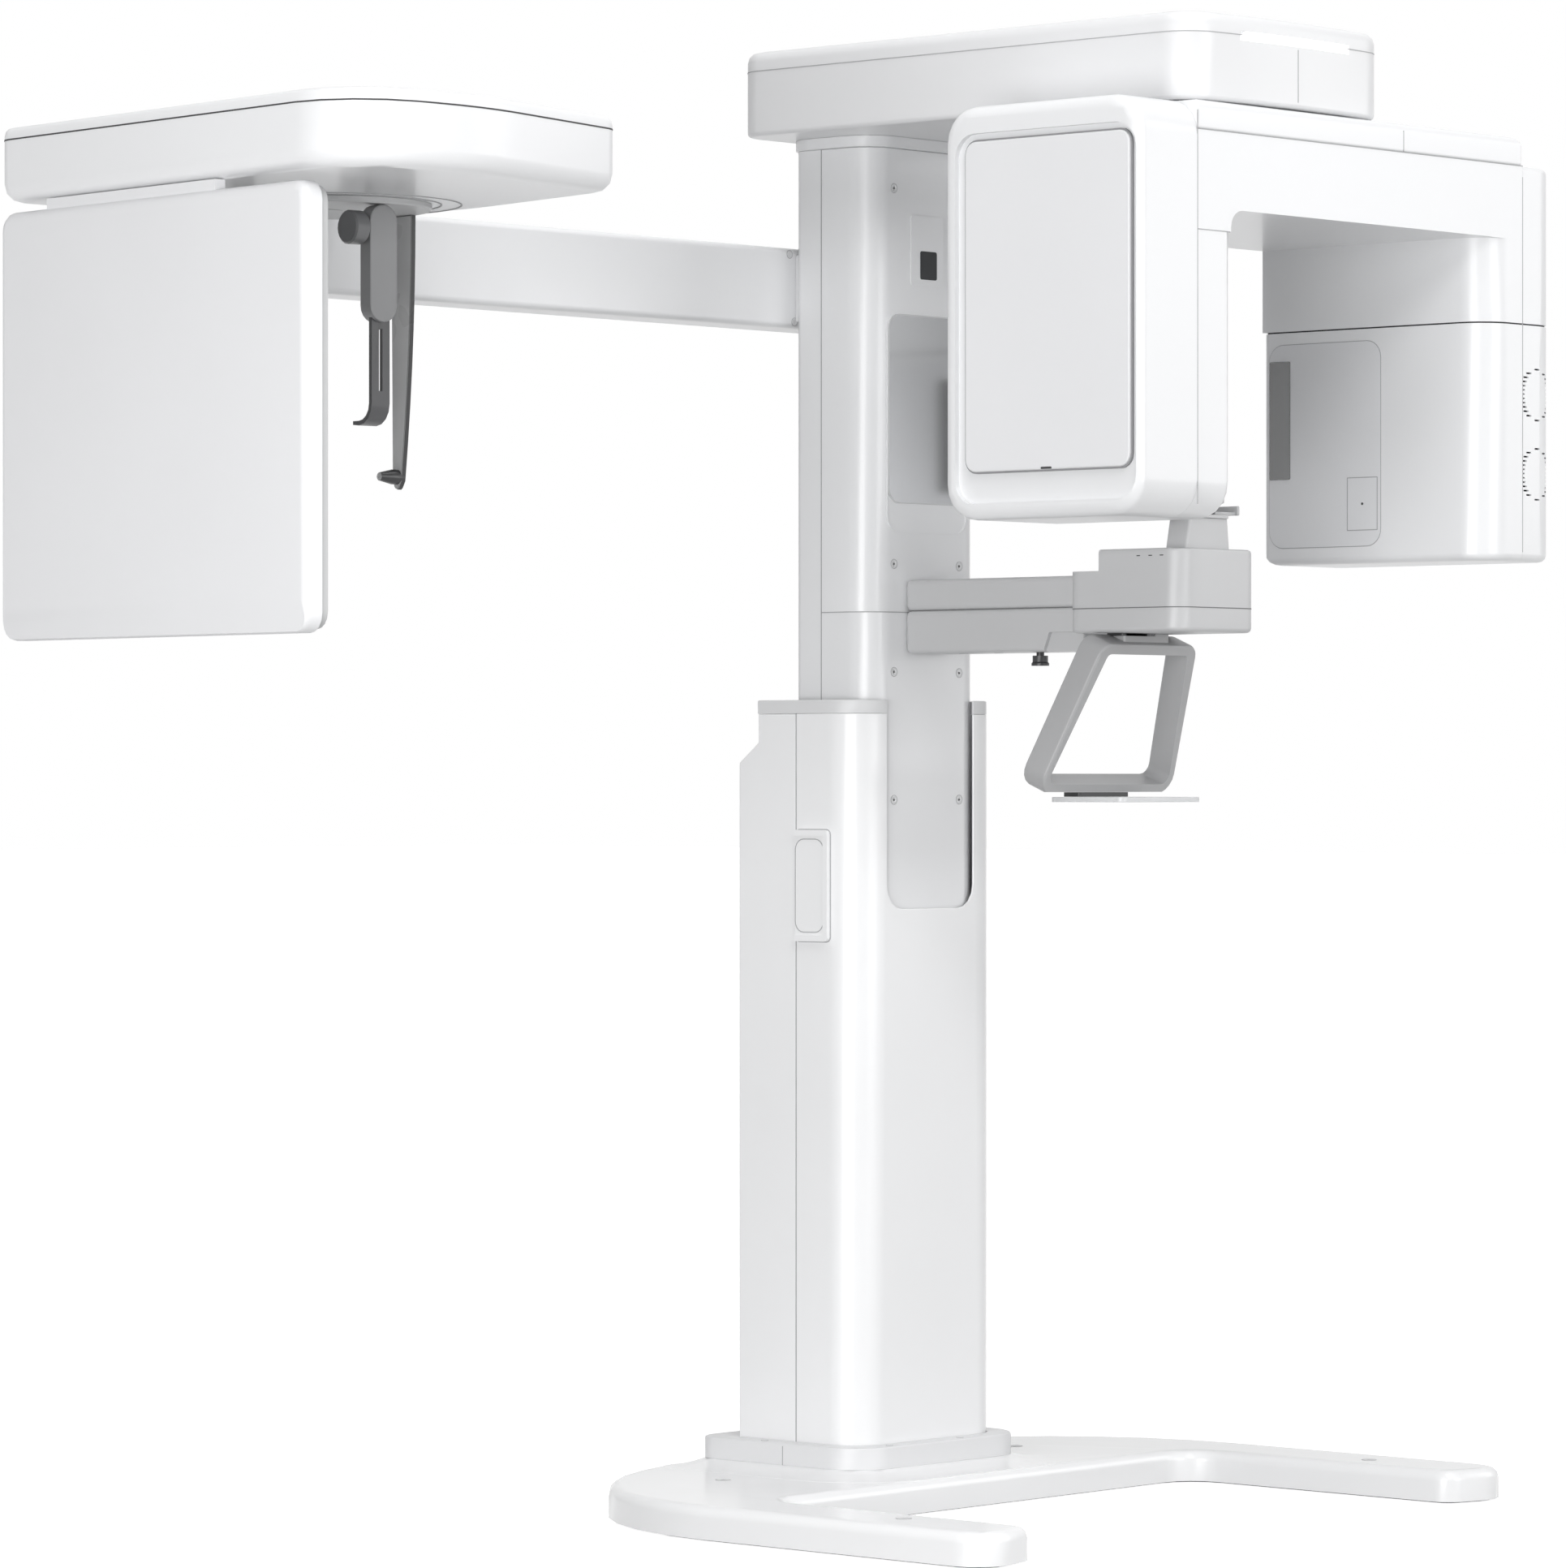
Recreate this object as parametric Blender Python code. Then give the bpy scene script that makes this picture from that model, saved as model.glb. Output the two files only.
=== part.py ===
"""Panoramic X-ray machine with a cephalometric arm.

Metres, +Z up. The origin is on the floor, on the axis of the column. The patient stands on
the -Y side of the column and the cephalometric arm reaches out along -X.
"""
import math

import bmesh
import bpy
from mathutils import Matrix, Vector

for old in list(bpy.data.objects):
    bpy.data.objects.remove(old, do_unlink=True)

GAP = 0.0003                     # air left between two pieces that touch
PLAY = 0.003                     # running clearance round a sliding or turning piece
WALL = 0.003                     # plastic cover wall

# ---- floor stand
BASE_HALF_WIDTH = 0.5365
BASE_FRONT = -0.632               # sharp corner of the leg tip, before its rounding
BASE_REAR = 0.230
LEG_WIDTH = 0.1175
BAY_REAR = -0.170                # front edge of the cross bar between the legs
COVER_TOP = 0.043
COVER_LIFT = 0.002               # the cover's lower edge above the floor
PLATE_THICKNESS = 0.024
PLATE_INSET = 0.009
FAIRING_TOP = 0.052
COLLAR_TOP = 0.081
COLLAR_MARGIN = 0.026            # collar past the casing, front and sides
COLLAR_REAR_MARGIN = 0.054
COLLAR_CORNER = 0.060
FAIRING_REACH = 0.060            # how far the fairing spreads past the collar
LEG_CORNER = 0.045

# ---- fixed lower casing
CASING_HALF_WIDTH = 0.144
CASING_FRONT = -0.073
CASING_REAR = 0.135
CASING_TOP = 1.047
CASING_CORNER = 0.050
CASING_SEAM = 0.034
RIM_HEIGHT = 0.0175
SLOT_HALF_WIDTH = 0.086
SLOT_BOTTOM = 0.775
SLOT_CORNER = 0.030
NOTCH_BOTTOM = 0.966             # where the rear steps in for the cables
NOTCH_DEPTH = 0.033
GRIP_BOTTOM = 0.733
GRIP_TOP = 0.878
GRIP_FRONT = -0.025
GRIP_DEPTH = 0.006

# ---- fixed mast and lift drive inside the casing
MAST_HALF_WIDTH = 0.058
MAST_FRONT = -0.030
MAST_REAR = 0.026
MAST_TOP = 1.300
MAST_WALL = 0.006

# ---- moving column
COLUMN_HALF_WIDTH = 0.1125
COLUMN_FRONT = -0.066
COLUMN_REAR = 0.065
COLUMN_CORNER = 0.040
COLUMN_SEAM = 0.018
COLUMN_BOTTOM = 0.360
COLUMN_SPLIT = 1.1615
COLUMN_TOP = 1.765
FRAME_WALL = 0.005

MIRROR_HALF_WIDTH = 0.077
MIRROR_BOTTOM = 1.304
MIRROR_TOP = 1.549
MIRROR_CORNER = 0.020
LABEL_HALF_WIDTH = 0.033
LABEL_BOTTOM = 1.588
LABEL_TOP = 1.680
TRIM_THICKNESS = 0.0015

# ---- top housing
HOUSING_HALF_WIDTH = 0.200
HOUSING_FRONT = -0.671
HOUSING_REAR = 0.091
HOUSING_BOTTOM = 1.779
HOUSING_SEAM = 1.863
HOUSING_TOP = 1.889
HOUSING_CORNER = 0.050
HOUSING_BOW = 0.008
HOUSING_WALL = 0.004
NECK_MARGIN = 0.012              # collar plate under the housing, past the column
LIGHT_HALF_WIDTH = 0.110
LIGHT_HEIGHT = 0.010

# ---- turning C-arm
AXIS_Y = -0.510
ARM_FRONT = -0.693
ARM_TOP = 1.7755
BRIDGE_REAR = -0.327
BRIDGE_BOTTOM = 1.643
BRIDGE_SEAM = 1.738
DETECTOR_OUTER = -0.330
DETECTOR_SPLIT = -0.218
DETECTOR_INNER = -0.152
DETECTOR_REAR = -0.379
DETECTOR_BOTTOM = 1.264
DETECTOR_SEAM = 1.616
FACE_FRONT = -0.676
FACE_REAR = -0.414
FACE_BOTTOM = 1.323
FACE_TOP = 1.731
FACE_FRAME = 0.010
FACE_REAR_FRAME = 0.0155
FACE_LEDGE = 0.040               # recess below the detector's front panel
GENERATOR_INNER = 0.378
GENERATOR_SPLIT = 0.456
GENERATOR_OUTER = 0.538
GENERATOR_REAR = -0.327
GENERATOR_BOTTOM = 1.226
GENERATOR_SEAM = 1.5335
ARM_CORNER = 0.045
REAR_CORNER = 0.012
FOOT_RADIUS = 0.026              # rear and outer lower edges of the generator housing
SHOULDER_RADIUS = 0.028          # outer upper edge of the generator housing
FAN_RADIUS = 0.033
FAN_UPPER_Z = 1.443
FAN_LOWER_Z = 1.340
FAN_X = 0.488
SLOT_HALF_LENGTH = 0.0055        # a short bar of the vents
SLOT_HALF_HEIGHT = 0.0011
WINDOW_HALF_HEIGHT = 0.078
WINDOW_Z = 1.417
CARRIAGE_TRAVEL = 0.020

# ---- patient support
SUPPORT_HALF_WIDTH = 0.043
SUPPORT_BOTTOM = 1.1075
SUPPORT_SEAM = 1.1635
SUPPORT_TOP = 1.2035
HEAD_HALF_WIDTH = 0.080
HEAD_FRONT = -0.555
HEAD_REAR = -0.367
HEAD_STEP = -0.423
HEAD_BOTTOM = 1.129
HEAD_SEAM = 1.160
HEAD_STEP_TOP = 1.207
HEAD_TOP = 1.234
HEAD_CORNER = 0.025
POST_HALF_WIDTH = 0.038
POST_FRONT = -0.538
POST_REAR = -0.503
POST_TOP = 1.273
HANDLE_TOP_Y = -0.425
HANDLE_TOP_Z = 1.115
HANDLE_BOTTOM_Y = -0.353
HANDLE_BOTTOM_Z = 0.9375
HANDLE_TOP_HALF = 0.088
HANDLE_BOTTOM_HALF = 0.129
HANDLE_DEPTH = 0.037
HANDLE_THICKNESS = 0.014
TRAY_FRONT = -0.463
TRAY_REAR = -0.345
TRAY_HALF_WIDTH = 0.080
TRAY_THICKNESS = 0.0065
ESTOP_Y = -0.260
ESTOP_RADIUS = 0.010
ESTOP_TRAVEL = 0.004
ESTOP_HEIGHT = 0.013
POCKET_DEPTH = 0.006             # hollow in each side of the chin arm, next to the head
TEMPLE_HALF_GAP = 0.064
TEMPLE_THICKNESS = 0.005
TEMPLE_HEIGHT = 0.180
TEMPLE_SETBACK = 0.050           # the upright blades stand behind their slides

# ---- cephalometric arm
CEPH_ARM_FRONT = 0.075
CEPH_ARM_DEPTH = 0.070
CEPH_ARM_BOTTOM = 1.535
CEPH_ARM_TOP = 1.640
CEPH_ARM_END = -1.120
CEPH_TURN = math.radians(7.35)
CEPH_X = -1.075
CEPH_Y = -0.164
BOX_BOTTOM = 1.624
BOX_SEAM = 1.697
BOX_TOP = 1.712
BOX_WALL = 0.004
PANEL_LEFT = -0.341
PANEL_THICKNESS = 0.036
PANEL_FRONT = -0.293
PANEL_REAR = 0.315
PANEL_BOTTOM = 1.107
PANEL_TOP = 1.612
PANEL_BAND_TOP = 1.145           # the sloping band along the panel's lower edge
PANEL_BACK_THICKNESS = 0.012
CHUCK_X = -0.041
CHUCK_Y = 0.078
CHUCK_RADIUS = 0.128
CHUCK_THICKNESS = 0.007
ROD_SPREAD = 0.118
ROD_THICKNESS = 0.0075
ROD_WIDTH = 0.040
ROD_BOTTOM = 1.290
NASION_REACH = 0.109
NASION_HALF_WIDTH = 0.020
NASION_HEIGHT = 0.138
NASION_BAR_HALF = 0.0135
NASION_KNOB_RADIUS = 0.020
NASION_KNOB_LENGTH = 0.024

MATERIALS = {
    "white": ((0.86, 0.86, 0.87), 0.32, 0.0),
    "light_grey": ((0.66, 0.67, 0.68), 0.40, 0.0),
    "mid_grey": ((0.36, 0.37, 0.38), 0.45, 0.0),
    "dark": ((0.045, 0.047, 0.050), 0.35, 0.0),
    "steel": ((0.55, 0.56, 0.58), 0.35, 0.9),
    "mirror": ((0.88, 0.89, 0.90), 0.03, 1.0),
    "clear": ((0.90, 0.92, 0.93), 0.08, 0.0),
}


# ---------------------------------------------------------------- tools
def finish(obj, look):
    """Give the object a Principled material of its own, with the named look."""
    colour, roughness, metallic = MATERIALS[look]
    mat = bpy.data.materials.new(obj.name)
    mat.use_nodes = True
    shader = mat.node_tree.nodes["Principled BSDF"]
    shader.inputs["Base Color"].default_value = (*colour, 1.0)
    shader.inputs["Roughness"].default_value = roughness
    shader.inputs["Metallic"].default_value = metallic
    obj.data.materials.clear()
    obj.data.materials.append(mat)
    return obj


def from_bmesh(name, bm, look):
    """Turn a bmesh into an object whose faces point outward."""
    bmesh.ops.recalc_face_normals(bm, faces=bm.faces)
    mesh = bpy.data.meshes.new(name)
    bm.to_mesh(mesh)
    bm.free()
    mesh.shade_smooth()
    mesh.set_sharp_from_angle(angle=math.radians(32))
    obj = bpy.data.objects.new(name, mesh)
    bpy.context.collection.objects.link(obj)
    return finish(obj, look)


def rectangle(x0, x1, y0, y1, radii, steps=4):
    """A counter-clockwise outline with corner radii at (x0,y0) (x1,y0) (x1,y1) (x0,y1)."""
    if not isinstance(radii, (tuple, list)):
        radii = (radii,) * 4
    corners = ((x0, y0, 1, 1, 180), (x1, y0, -1, 1, 270), (x1, y1, -1, -1, 0), (x0, y1, 1, -1, 90))
    points = []
    for (x, y, sx, sy, start), radius in zip(corners, radii):
        if radius <= 0:
            points.append((x, y))
            continue
        for i in range(steps + 1):
            angle = math.radians(start + 90 * i / steps)
            points.append((x + sx * radius + radius * math.cos(angle),
                           y + sy * radius + radius * math.sin(angle)))
    return points


def circle(x, y, radius, sides=24):
    """A counter-clockwise circle."""
    turn = 2 * math.pi / sides
    return [(x + radius * math.cos(turn * i), y + radius * math.sin(turn * i)) for i in range(sides)]


def inset(outline, distance):
    """The outline moved inward by a distance, by the bisector at each point."""
    count = len(outline)
    moved = []
    for i, here in enumerate(outline):
        before = Vector(here) - Vector(outline[i - 1])
        after = Vector(outline[(i + 1) % count]) - Vector(here)
        n0 = Vector((-before.y, before.x)).normalized()
        n1 = Vector((-after.y, after.x)).normalized()
        bisector = (n0 + n1).normalized()
        moved.append(tuple(Vector(here) + bisector * distance / max(0.4, bisector.dot(n0))))
    return moved


def place(u, v, w, along):
    """A point at (u, v) in the outline's plane and w along the extrusion axis."""
    if along == "Z":
        return (u, v, w)
    if along == "X":
        return (w, u, v)
    return (u, w, v)


def stack(name, rings, look, along="Z", matrix=None):
    """A closed solid through rings [(outline, level), ...] that all have as many points."""
    bm = bmesh.new()
    loops = []
    for outline, level in rings:
        loops.append([bm.verts.new(place(u, v, level, along)) for u, v in outline])
    count = len(loops[0])
    for low, high in zip(loops, loops[1:]):
        for i in range(count):
            j = (i + 1) % count
            bm.faces.new((low[i], low[j], high[j], high[i]))
    bm.faces.new(list(reversed(loops[0])))
    bm.faces.new(loops[-1])
    if matrix is not None:
        bmesh.ops.transform(bm, matrix=matrix, verts=bm.verts)
    return from_bmesh(name, bm, look)


def prism(name, outline, low, high, look, along="Z", bottom=0.0, top=0.0, matrix=None, steps=3):
    """An extruded outline whose bottom and top edges may be rounded."""
    rings = []
    if bottom > 0:
        for i in range(steps + 1):
            angle = math.pi / 2 * i / steps
            rings.append((inset(outline, bottom * (1 - math.sin(angle))),
                          low + bottom * (1 - math.cos(angle))))
    else:
        rings.append((outline, low))
    if top > 0:
        for i in range(steps + 1):
            angle = math.pi / 2 * i / steps
            rings.append((inset(outline, top * (1 - math.cos(angle))),
                          high - top * (1 - math.sin(angle))))
    else:
        rings.append((outline, high))
    return stack(name, rings, look, along, matrix)


def box(name, x0, x1, y0, y1, z0, z1, look, radius=0.0, along="Z", **edges):
    """A box, with its four edges along one axis rounded."""
    if along == "Z":
        return prism(name, rectangle(x0, x1, y0, y1, radius), z0, z1, look, "Z", **edges)
    if along == "X":
        return prism(name, rectangle(y0, y1, z0, z1, radius), x0, x1, look, "X", **edges)
    return prism(name, rectangle(x0, x1, z0, z1, radius), y0, y1, look, "Y", **edges)


def combine(obj, tool, operation="DIFFERENCE"):
    """Apply a Boolean with another object and remove that object."""
    modifier = obj.modifiers.new("cut", "BOOLEAN")
    modifier.object = tool
    modifier.operation = operation
    modifier.solver = "EXACT"
    graph = bpy.context.evaluated_depsgraph_get()
    mesh = bpy.data.meshes.new_from_object(obj.evaluated_get(graph))
    obj.modifiers.clear()
    obj.data = mesh
    bpy.data.objects.remove(tool, do_unlink=True)
    tidy(obj)
    return obj


def tidy(obj):
    """Merge the slivers a Boolean leaves and keep the one set of material slots."""
    bm = bmesh.new()
    bm.from_mesh(obj.data)
    bmesh.ops.remove_doubles(bm, verts=bm.verts, dist=0.00002)
    bmesh.ops.dissolve_degenerate(bm, dist=0.00002, edges=bm.edges)
    bm.to_mesh(obj.data)
    bm.free()
    while len(obj.data.materials) > 1:
        obj.data.materials.pop(index=len(obj.data.materials) - 1)
    obj.data.shade_smooth()
    obj.data.set_sharp_from_angle(angle=math.radians(32))


def cut_box(obj, x0, x1, y0, y1, z0, z1, radius=0.0, along="Z"):
    """Cut a box-shaped space out of an object."""
    return combine(obj, box("cutter", x0, x1, y0, y1, z0, z1, "steel", radius, along))


def pivot(obj, x, y, z):
    """Put the object's origin on its joint's axis without moving the shape."""
    obj.data.transform(Matrix.Translation((-x, -y, -z)))
    obj.location = (x, y, z)
    return obj


def filleted(corners, steps=4):
    """A counter-clockwise outline through corners (x, y, radius), each rounded by an arc."""
    points = []
    count = len(corners)
    for i, (x, y, radius) in enumerate(corners):
        here = Vector((x, y))
        to_before = (Vector(corners[i - 1][:2]) - here).normalized()
        to_after = (Vector(corners[(i + 1) % count][:2]) - here).normalized()
        if radius <= 0:
            points.append((x, y))
            continue
        half = to_before.angle(to_after) / 2
        reach = radius / math.tan(half)
        centre = here + (to_before + to_after).normalized() * radius / math.sin(half)
        start = here + to_before * reach - centre
        sweep = math.pi - 2 * half
        turn = 1 if to_before.x * to_after.y - to_before.y * to_after.x < 0 else -1
        for k in range(steps + 1):
            angle = turn * sweep * k / steps
            spoke = Vector((start.x * math.cos(angle) - start.y * math.sin(angle),
                            start.x * math.sin(angle) + start.y * math.cos(angle)))
            points.append(tuple(centre + spoke))
    return points


def turned(name, profile, look, x=0.0, y=0.0, sides=24, matrix=None):
    """A solid turned about a vertical axis; the profile (radius, z) runs from axis to axis."""
    bm = bmesh.new()
    rings = []
    for radius, z in profile:
        if radius <= 0:
            rings.append([bm.verts.new((x, y, z))])
        else:
            rings.append([bm.verts.new((px, py, z)) for px, py in circle(x, y, radius, sides)])
    for low, high in zip(rings, rings[1:]):
        for i in range(sides):
            j = (i + 1) % sides
            if len(low) == 1:
                bm.faces.new((low[0], high[j], high[i]))
            elif len(high) == 1:
                bm.faces.new((low[i], low[j], high[0]))
            else:
                bm.faces.new((low[i], low[j], high[j], high[i]))
    if matrix is not None:
        bmesh.ops.transform(bm, matrix=matrix, verts=bm.verts)
    return from_bmesh(name, bm, look)


def channel(name, x, y_front, y_rear, corner, wall, z0, z1, look, opens="rear"):
    """A C-shaped cover: a rounded front or rear wall with two sides."""
    if opens == "rear":
        outer = rectangle(-x, x, y_front, y_rear, (corner, corner, 0, 0))
        inner = rectangle(-x + wall, x - wall, y_front + wall, y_rear + 0.05,
                          (corner - wall, corner - wall, 0, 0))
    else:
        outer = rectangle(-x, x, y_front, y_rear, (0, 0, corner, corner))
        inner = rectangle(-x + wall, x - wall, y_front - 0.05, y_rear - wall,
                          (0, 0, corner - wall, corner - wall))
    cover = prism(name, outer, z0, z1, look)
    return combine(cover, prism("cutter", inner, z0 - 0.05, z1 + 0.05, look))


# ---------------------------------------------------------------- floor stand
REAR_ARC_WIDTH = 0.42
REAR_ARC_START = -0.16
TIP_SLANT = 0.032


def stand_outline():
    """The horseshoe: two legs forward of a cross bar whose rear corners are ellipse quarters."""
    leg_in = BASE_HALF_WIDTH - LEG_WIDTH
    half = filleted([
        (leg_in, BAY_REAR, 0.050),
        (leg_in, BASE_FRONT + TIP_SLANT, 0.030),
        (BASE_HALF_WIDTH, BASE_FRONT, LEG_CORNER),
        (BASE_HALF_WIDTH, REAR_ARC_START, 0),
        (0.0, REAR_ARC_START, 0)])
    right = half[:-2]
    steps = 9
    for i in range(steps + 1):
        angle = math.pi / 2 * i / steps
        right.append((BASE_HALF_WIDTH - REAR_ARC_WIDTH * (1 - math.cos(angle)),
                      REAR_ARC_START + (BASE_REAR - REAR_ARC_START) * math.sin(angle)))
    left = [(-x, y) for x, y in reversed(right)]
    return right + left


def make_fairing(collar_x, collar_front, collar_rear):
    """The concave rise of the cover towards the collar, level with the cover's top at its foot."""
    sunk = 0.004
    rear_room = BASE_REAR - 0.020 - collar_rear
    height = FAIRING_TOP - COVER_TOP
    steps = 7
    rings = []
    for i in range(-1, steps + 1):
        spread = 1 - max(0, i) / steps
        out = FAIRING_REACH * spread + 0.001
        corner = COLLAR_CORNER + 0.050 * spread
        level = COVER_TOP + 0.0002 + height * (1 - spread) ** 2 if i >= 0 else COVER_TOP - sunk
        rings.append((rectangle(-collar_x - out, collar_x + out, collar_front - out,
                                collar_rear + rear_room * spread, (corner, corner, 0.035, 0.035), 5),
                      level))
    return stack("fairing", rings, "white")


def make_stand():
    outline = stand_outline()
    prism("base_plate", inset(outline, PLATE_INSET), 0.0, PLATE_THICKNESS, "steel")

    cavity = inset(outline, PLATE_INSET - 0.001)
    roof = PLATE_THICKNESS + GAP
    rings = [(cavity, roof), (cavity, COVER_LIFT), (outline, COVER_LIFT)]
    edge = 0.014
    for i in range(4):
        angle = math.pi / 2 * i / 3
        rings.append((inset(outline, edge * (1 - math.cos(angle))),
                      COVER_TOP - edge + edge * math.sin(angle)))
    cover = stack("base_cover", rings, "white")

    collar_x = CASING_HALF_WIDTH + COLLAR_MARGIN
    collar_front = CASING_FRONT - COLLAR_MARGIN
    collar_rear = CASING_REAR + COLLAR_REAR_MARGIN
    collar = rectangle(-collar_x, collar_x, collar_front, collar_rear,
                       (COLLAR_CORNER, COLLAR_CORNER, 0.03, 0.03), 5)
    sleeve = rectangle(-CASING_HALF_WIDTH - 0.001, CASING_HALF_WIDTH + 0.001,
                       CASING_FRONT - 0.001, CASING_REAR + 0.001,
                       (CASING_CORNER, CASING_CORNER, 0, 0))
    combine(cover, make_fairing(collar_x, collar_front, collar_rear), "UNION")
    combine(cover, prism("cutter", sleeve, COVER_TOP + GAP, 0.2, "white"))
    cut_box(cover, -MAST_HALF_WIDTH - PLAY, MAST_HALF_WIDTH + PLAY, MAST_FRONT - PLAY,
            MAST_REAR + PLAY, 0.0, 0.1)

    ring = prism("base_collar", collar, FAIRING_TOP + GAP, COLLAR_TOP, "white", top=0.003, steps=2)
    combine(ring, prism("cutter", sleeve, 0.0, 0.2, "white"))


# ---------------------------------------------------------------- fixed lower casing
def make_casing():
    foot = COVER_TOP + 2 * GAP
    shoulder = CASING_TOP - RIM_HEIGHT
    front = channel("casing_front", CASING_HALF_WIDTH, CASING_FRONT, CASING_SEAM, CASING_CORNER,
                    WALL, foot, shoulder - GAP, "white")
    cut_box(front, -SLOT_HALF_WIDTH, SLOT_HALF_WIDTH, CASING_FRONT - 0.05, CASING_FRONT + 0.03,
            SLOT_BOTTOM, CASING_TOP + 0.1, SLOT_CORNER, "Y")

    step = CASING_REAR - NOTCH_DEPTH
    slant = 0.026
    outer = [(CASING_SEAM + GAP, foot), (CASING_REAR, foot), (CASING_REAR, NOTCH_BOTTOM),
             (step, NOTCH_BOTTOM + slant), (step, shoulder - GAP), (CASING_SEAM + GAP, shoulder - GAP)]
    inner = [(CASING_SEAM - 0.05, foot - 0.05), (CASING_REAR - WALL, foot - 0.05),
             (CASING_REAR - WALL, NOTCH_BOTTOM - WALL / 2), (step - WALL, NOTCH_BOTTOM + slant - WALL / 2),
             (step - WALL, CASING_TOP), (CASING_SEAM - 0.05, CASING_TOP)]
    rear = prism("casing_rear", outer, -CASING_HALF_WIDTH, CASING_HALF_WIDTH, "white", "X")
    combine(rear, prism("cutter", inner, -CASING_HALF_WIDTH + WALL, CASING_HALF_WIDTH - WALL,
                        "white", "X"))

    ring = rectangle(-CASING_HALF_WIDTH, CASING_HALF_WIDTH, CASING_FRONT, step,
                     (CASING_CORNER, CASING_CORNER, 0, 0))
    rim = prism("casing_rim", ring, shoulder, CASING_TOP, "light_grey", top=0.0015, steps=2)
    hole = rectangle(-CASING_HALF_WIDTH + WALL, CASING_HALF_WIDTH - WALL, CASING_FRONT + WALL,
                     step - WALL, (CASING_CORNER - WALL, CASING_CORNER - WALL, 0, 0))
    combine(rim, prism("cutter", hole, 0.5, 1.5, "white"))
    cut_box(rim, -SLOT_HALF_WIDTH, SLOT_HALF_WIDTH, CASING_FRONT - 0.05, CASING_FRONT + 0.03, 0.5, 1.5)

    rear_edge = CASING_SEAM - GAP
    lip = 0.008
    outline = rectangle(GRIP_FRONT, rear_edge, GRIP_BOTTOM, GRIP_TOP, (0.006, 0.001, 0.001, 0.006), 3)
    grip = prism("side_grip", outline, -CASING_HALF_WIDTH - GRIP_DEPTH, -CASING_HALF_WIDTH - GAP,
                 "white", "X")
    cut_box(grip, -1, -CASING_HALF_WIDTH - GRIP_DEPTH / 2, GRIP_FRONT + lip, rear_edge + 0.05,
            GRIP_BOTTOM + lip, GRIP_TOP - lip)

    mast = box("fixed_mast", -MAST_HALF_WIDTH, MAST_HALF_WIDTH, MAST_FRONT, MAST_REAR,
               PLATE_THICKNESS + GAP, MAST_TOP, "steel")
    cut_box(mast, -MAST_HALF_WIDTH + MAST_WALL, MAST_HALF_WIDTH - MAST_WALL,
            MAST_FRONT + MAST_WALL, MAST_REAR - MAST_WALL, 0.0, MAST_TOP + 0.1)


SWITCH_X = 0.070
SWITCH_Z = 0.205
SWITCH_HALF_WIDTH = 0.010
SWITCH_HALF_HEIGHT = 0.0115
PANEL_RAISE = 0.008


def make_power_panel():
    """The panel on the rear of the casing with the mains switch above the power inlet."""
    face = CASING_REAR + GAP
    edge = 0.008
    room = 0.0025
    inlet_top = SWITCH_Z - SWITCH_HALF_HEIGHT - 0.014
    inlet_bottom = inlet_top - 0.019
    panel = box("power_panel", SWITCH_X - 0.022, SWITCH_X + 0.022, face, face + PANEL_RAISE,
                inlet_bottom - edge, SWITCH_Z + SWITCH_HALF_HEIGHT + edge, "dark", 0.004, "Y")
    cut_box(panel, SWITCH_X - SWITCH_HALF_WIDTH - 0.0005, SWITCH_X + SWITCH_HALF_WIDTH + 0.0005,
            face + 0.001, face + 0.05, SWITCH_Z - SWITCH_HALF_HEIGHT - room,
            SWITCH_Z + SWITCH_HALF_HEIGHT + room)
    cut_box(panel, SWITCH_X - 0.012, SWITCH_X + 0.012, face + 0.001, face + 0.05, inlet_bottom, inlet_top)
    back = face + 0.0035
    shoulder = back + 0.0050
    profile = [(back, SWITCH_Z - SWITCH_HALF_HEIGHT), (shoulder, SWITCH_Z - SWITCH_HALF_HEIGHT),
               (shoulder + 0.001, SWITCH_Z), (shoulder, SWITCH_Z + SWITCH_HALF_HEIGHT),
               (back, SWITCH_Z + SWITCH_HALF_HEIGHT)]
    rocker = prism("power_rocker", profile, SWITCH_X - SWITCH_HALF_WIDTH, SWITCH_X + SWITCH_HALF_WIDTH,
                   "dark", "X")
    pivot(rocker, SWITCH_X, back + 0.002, SWITCH_Z)


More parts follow.
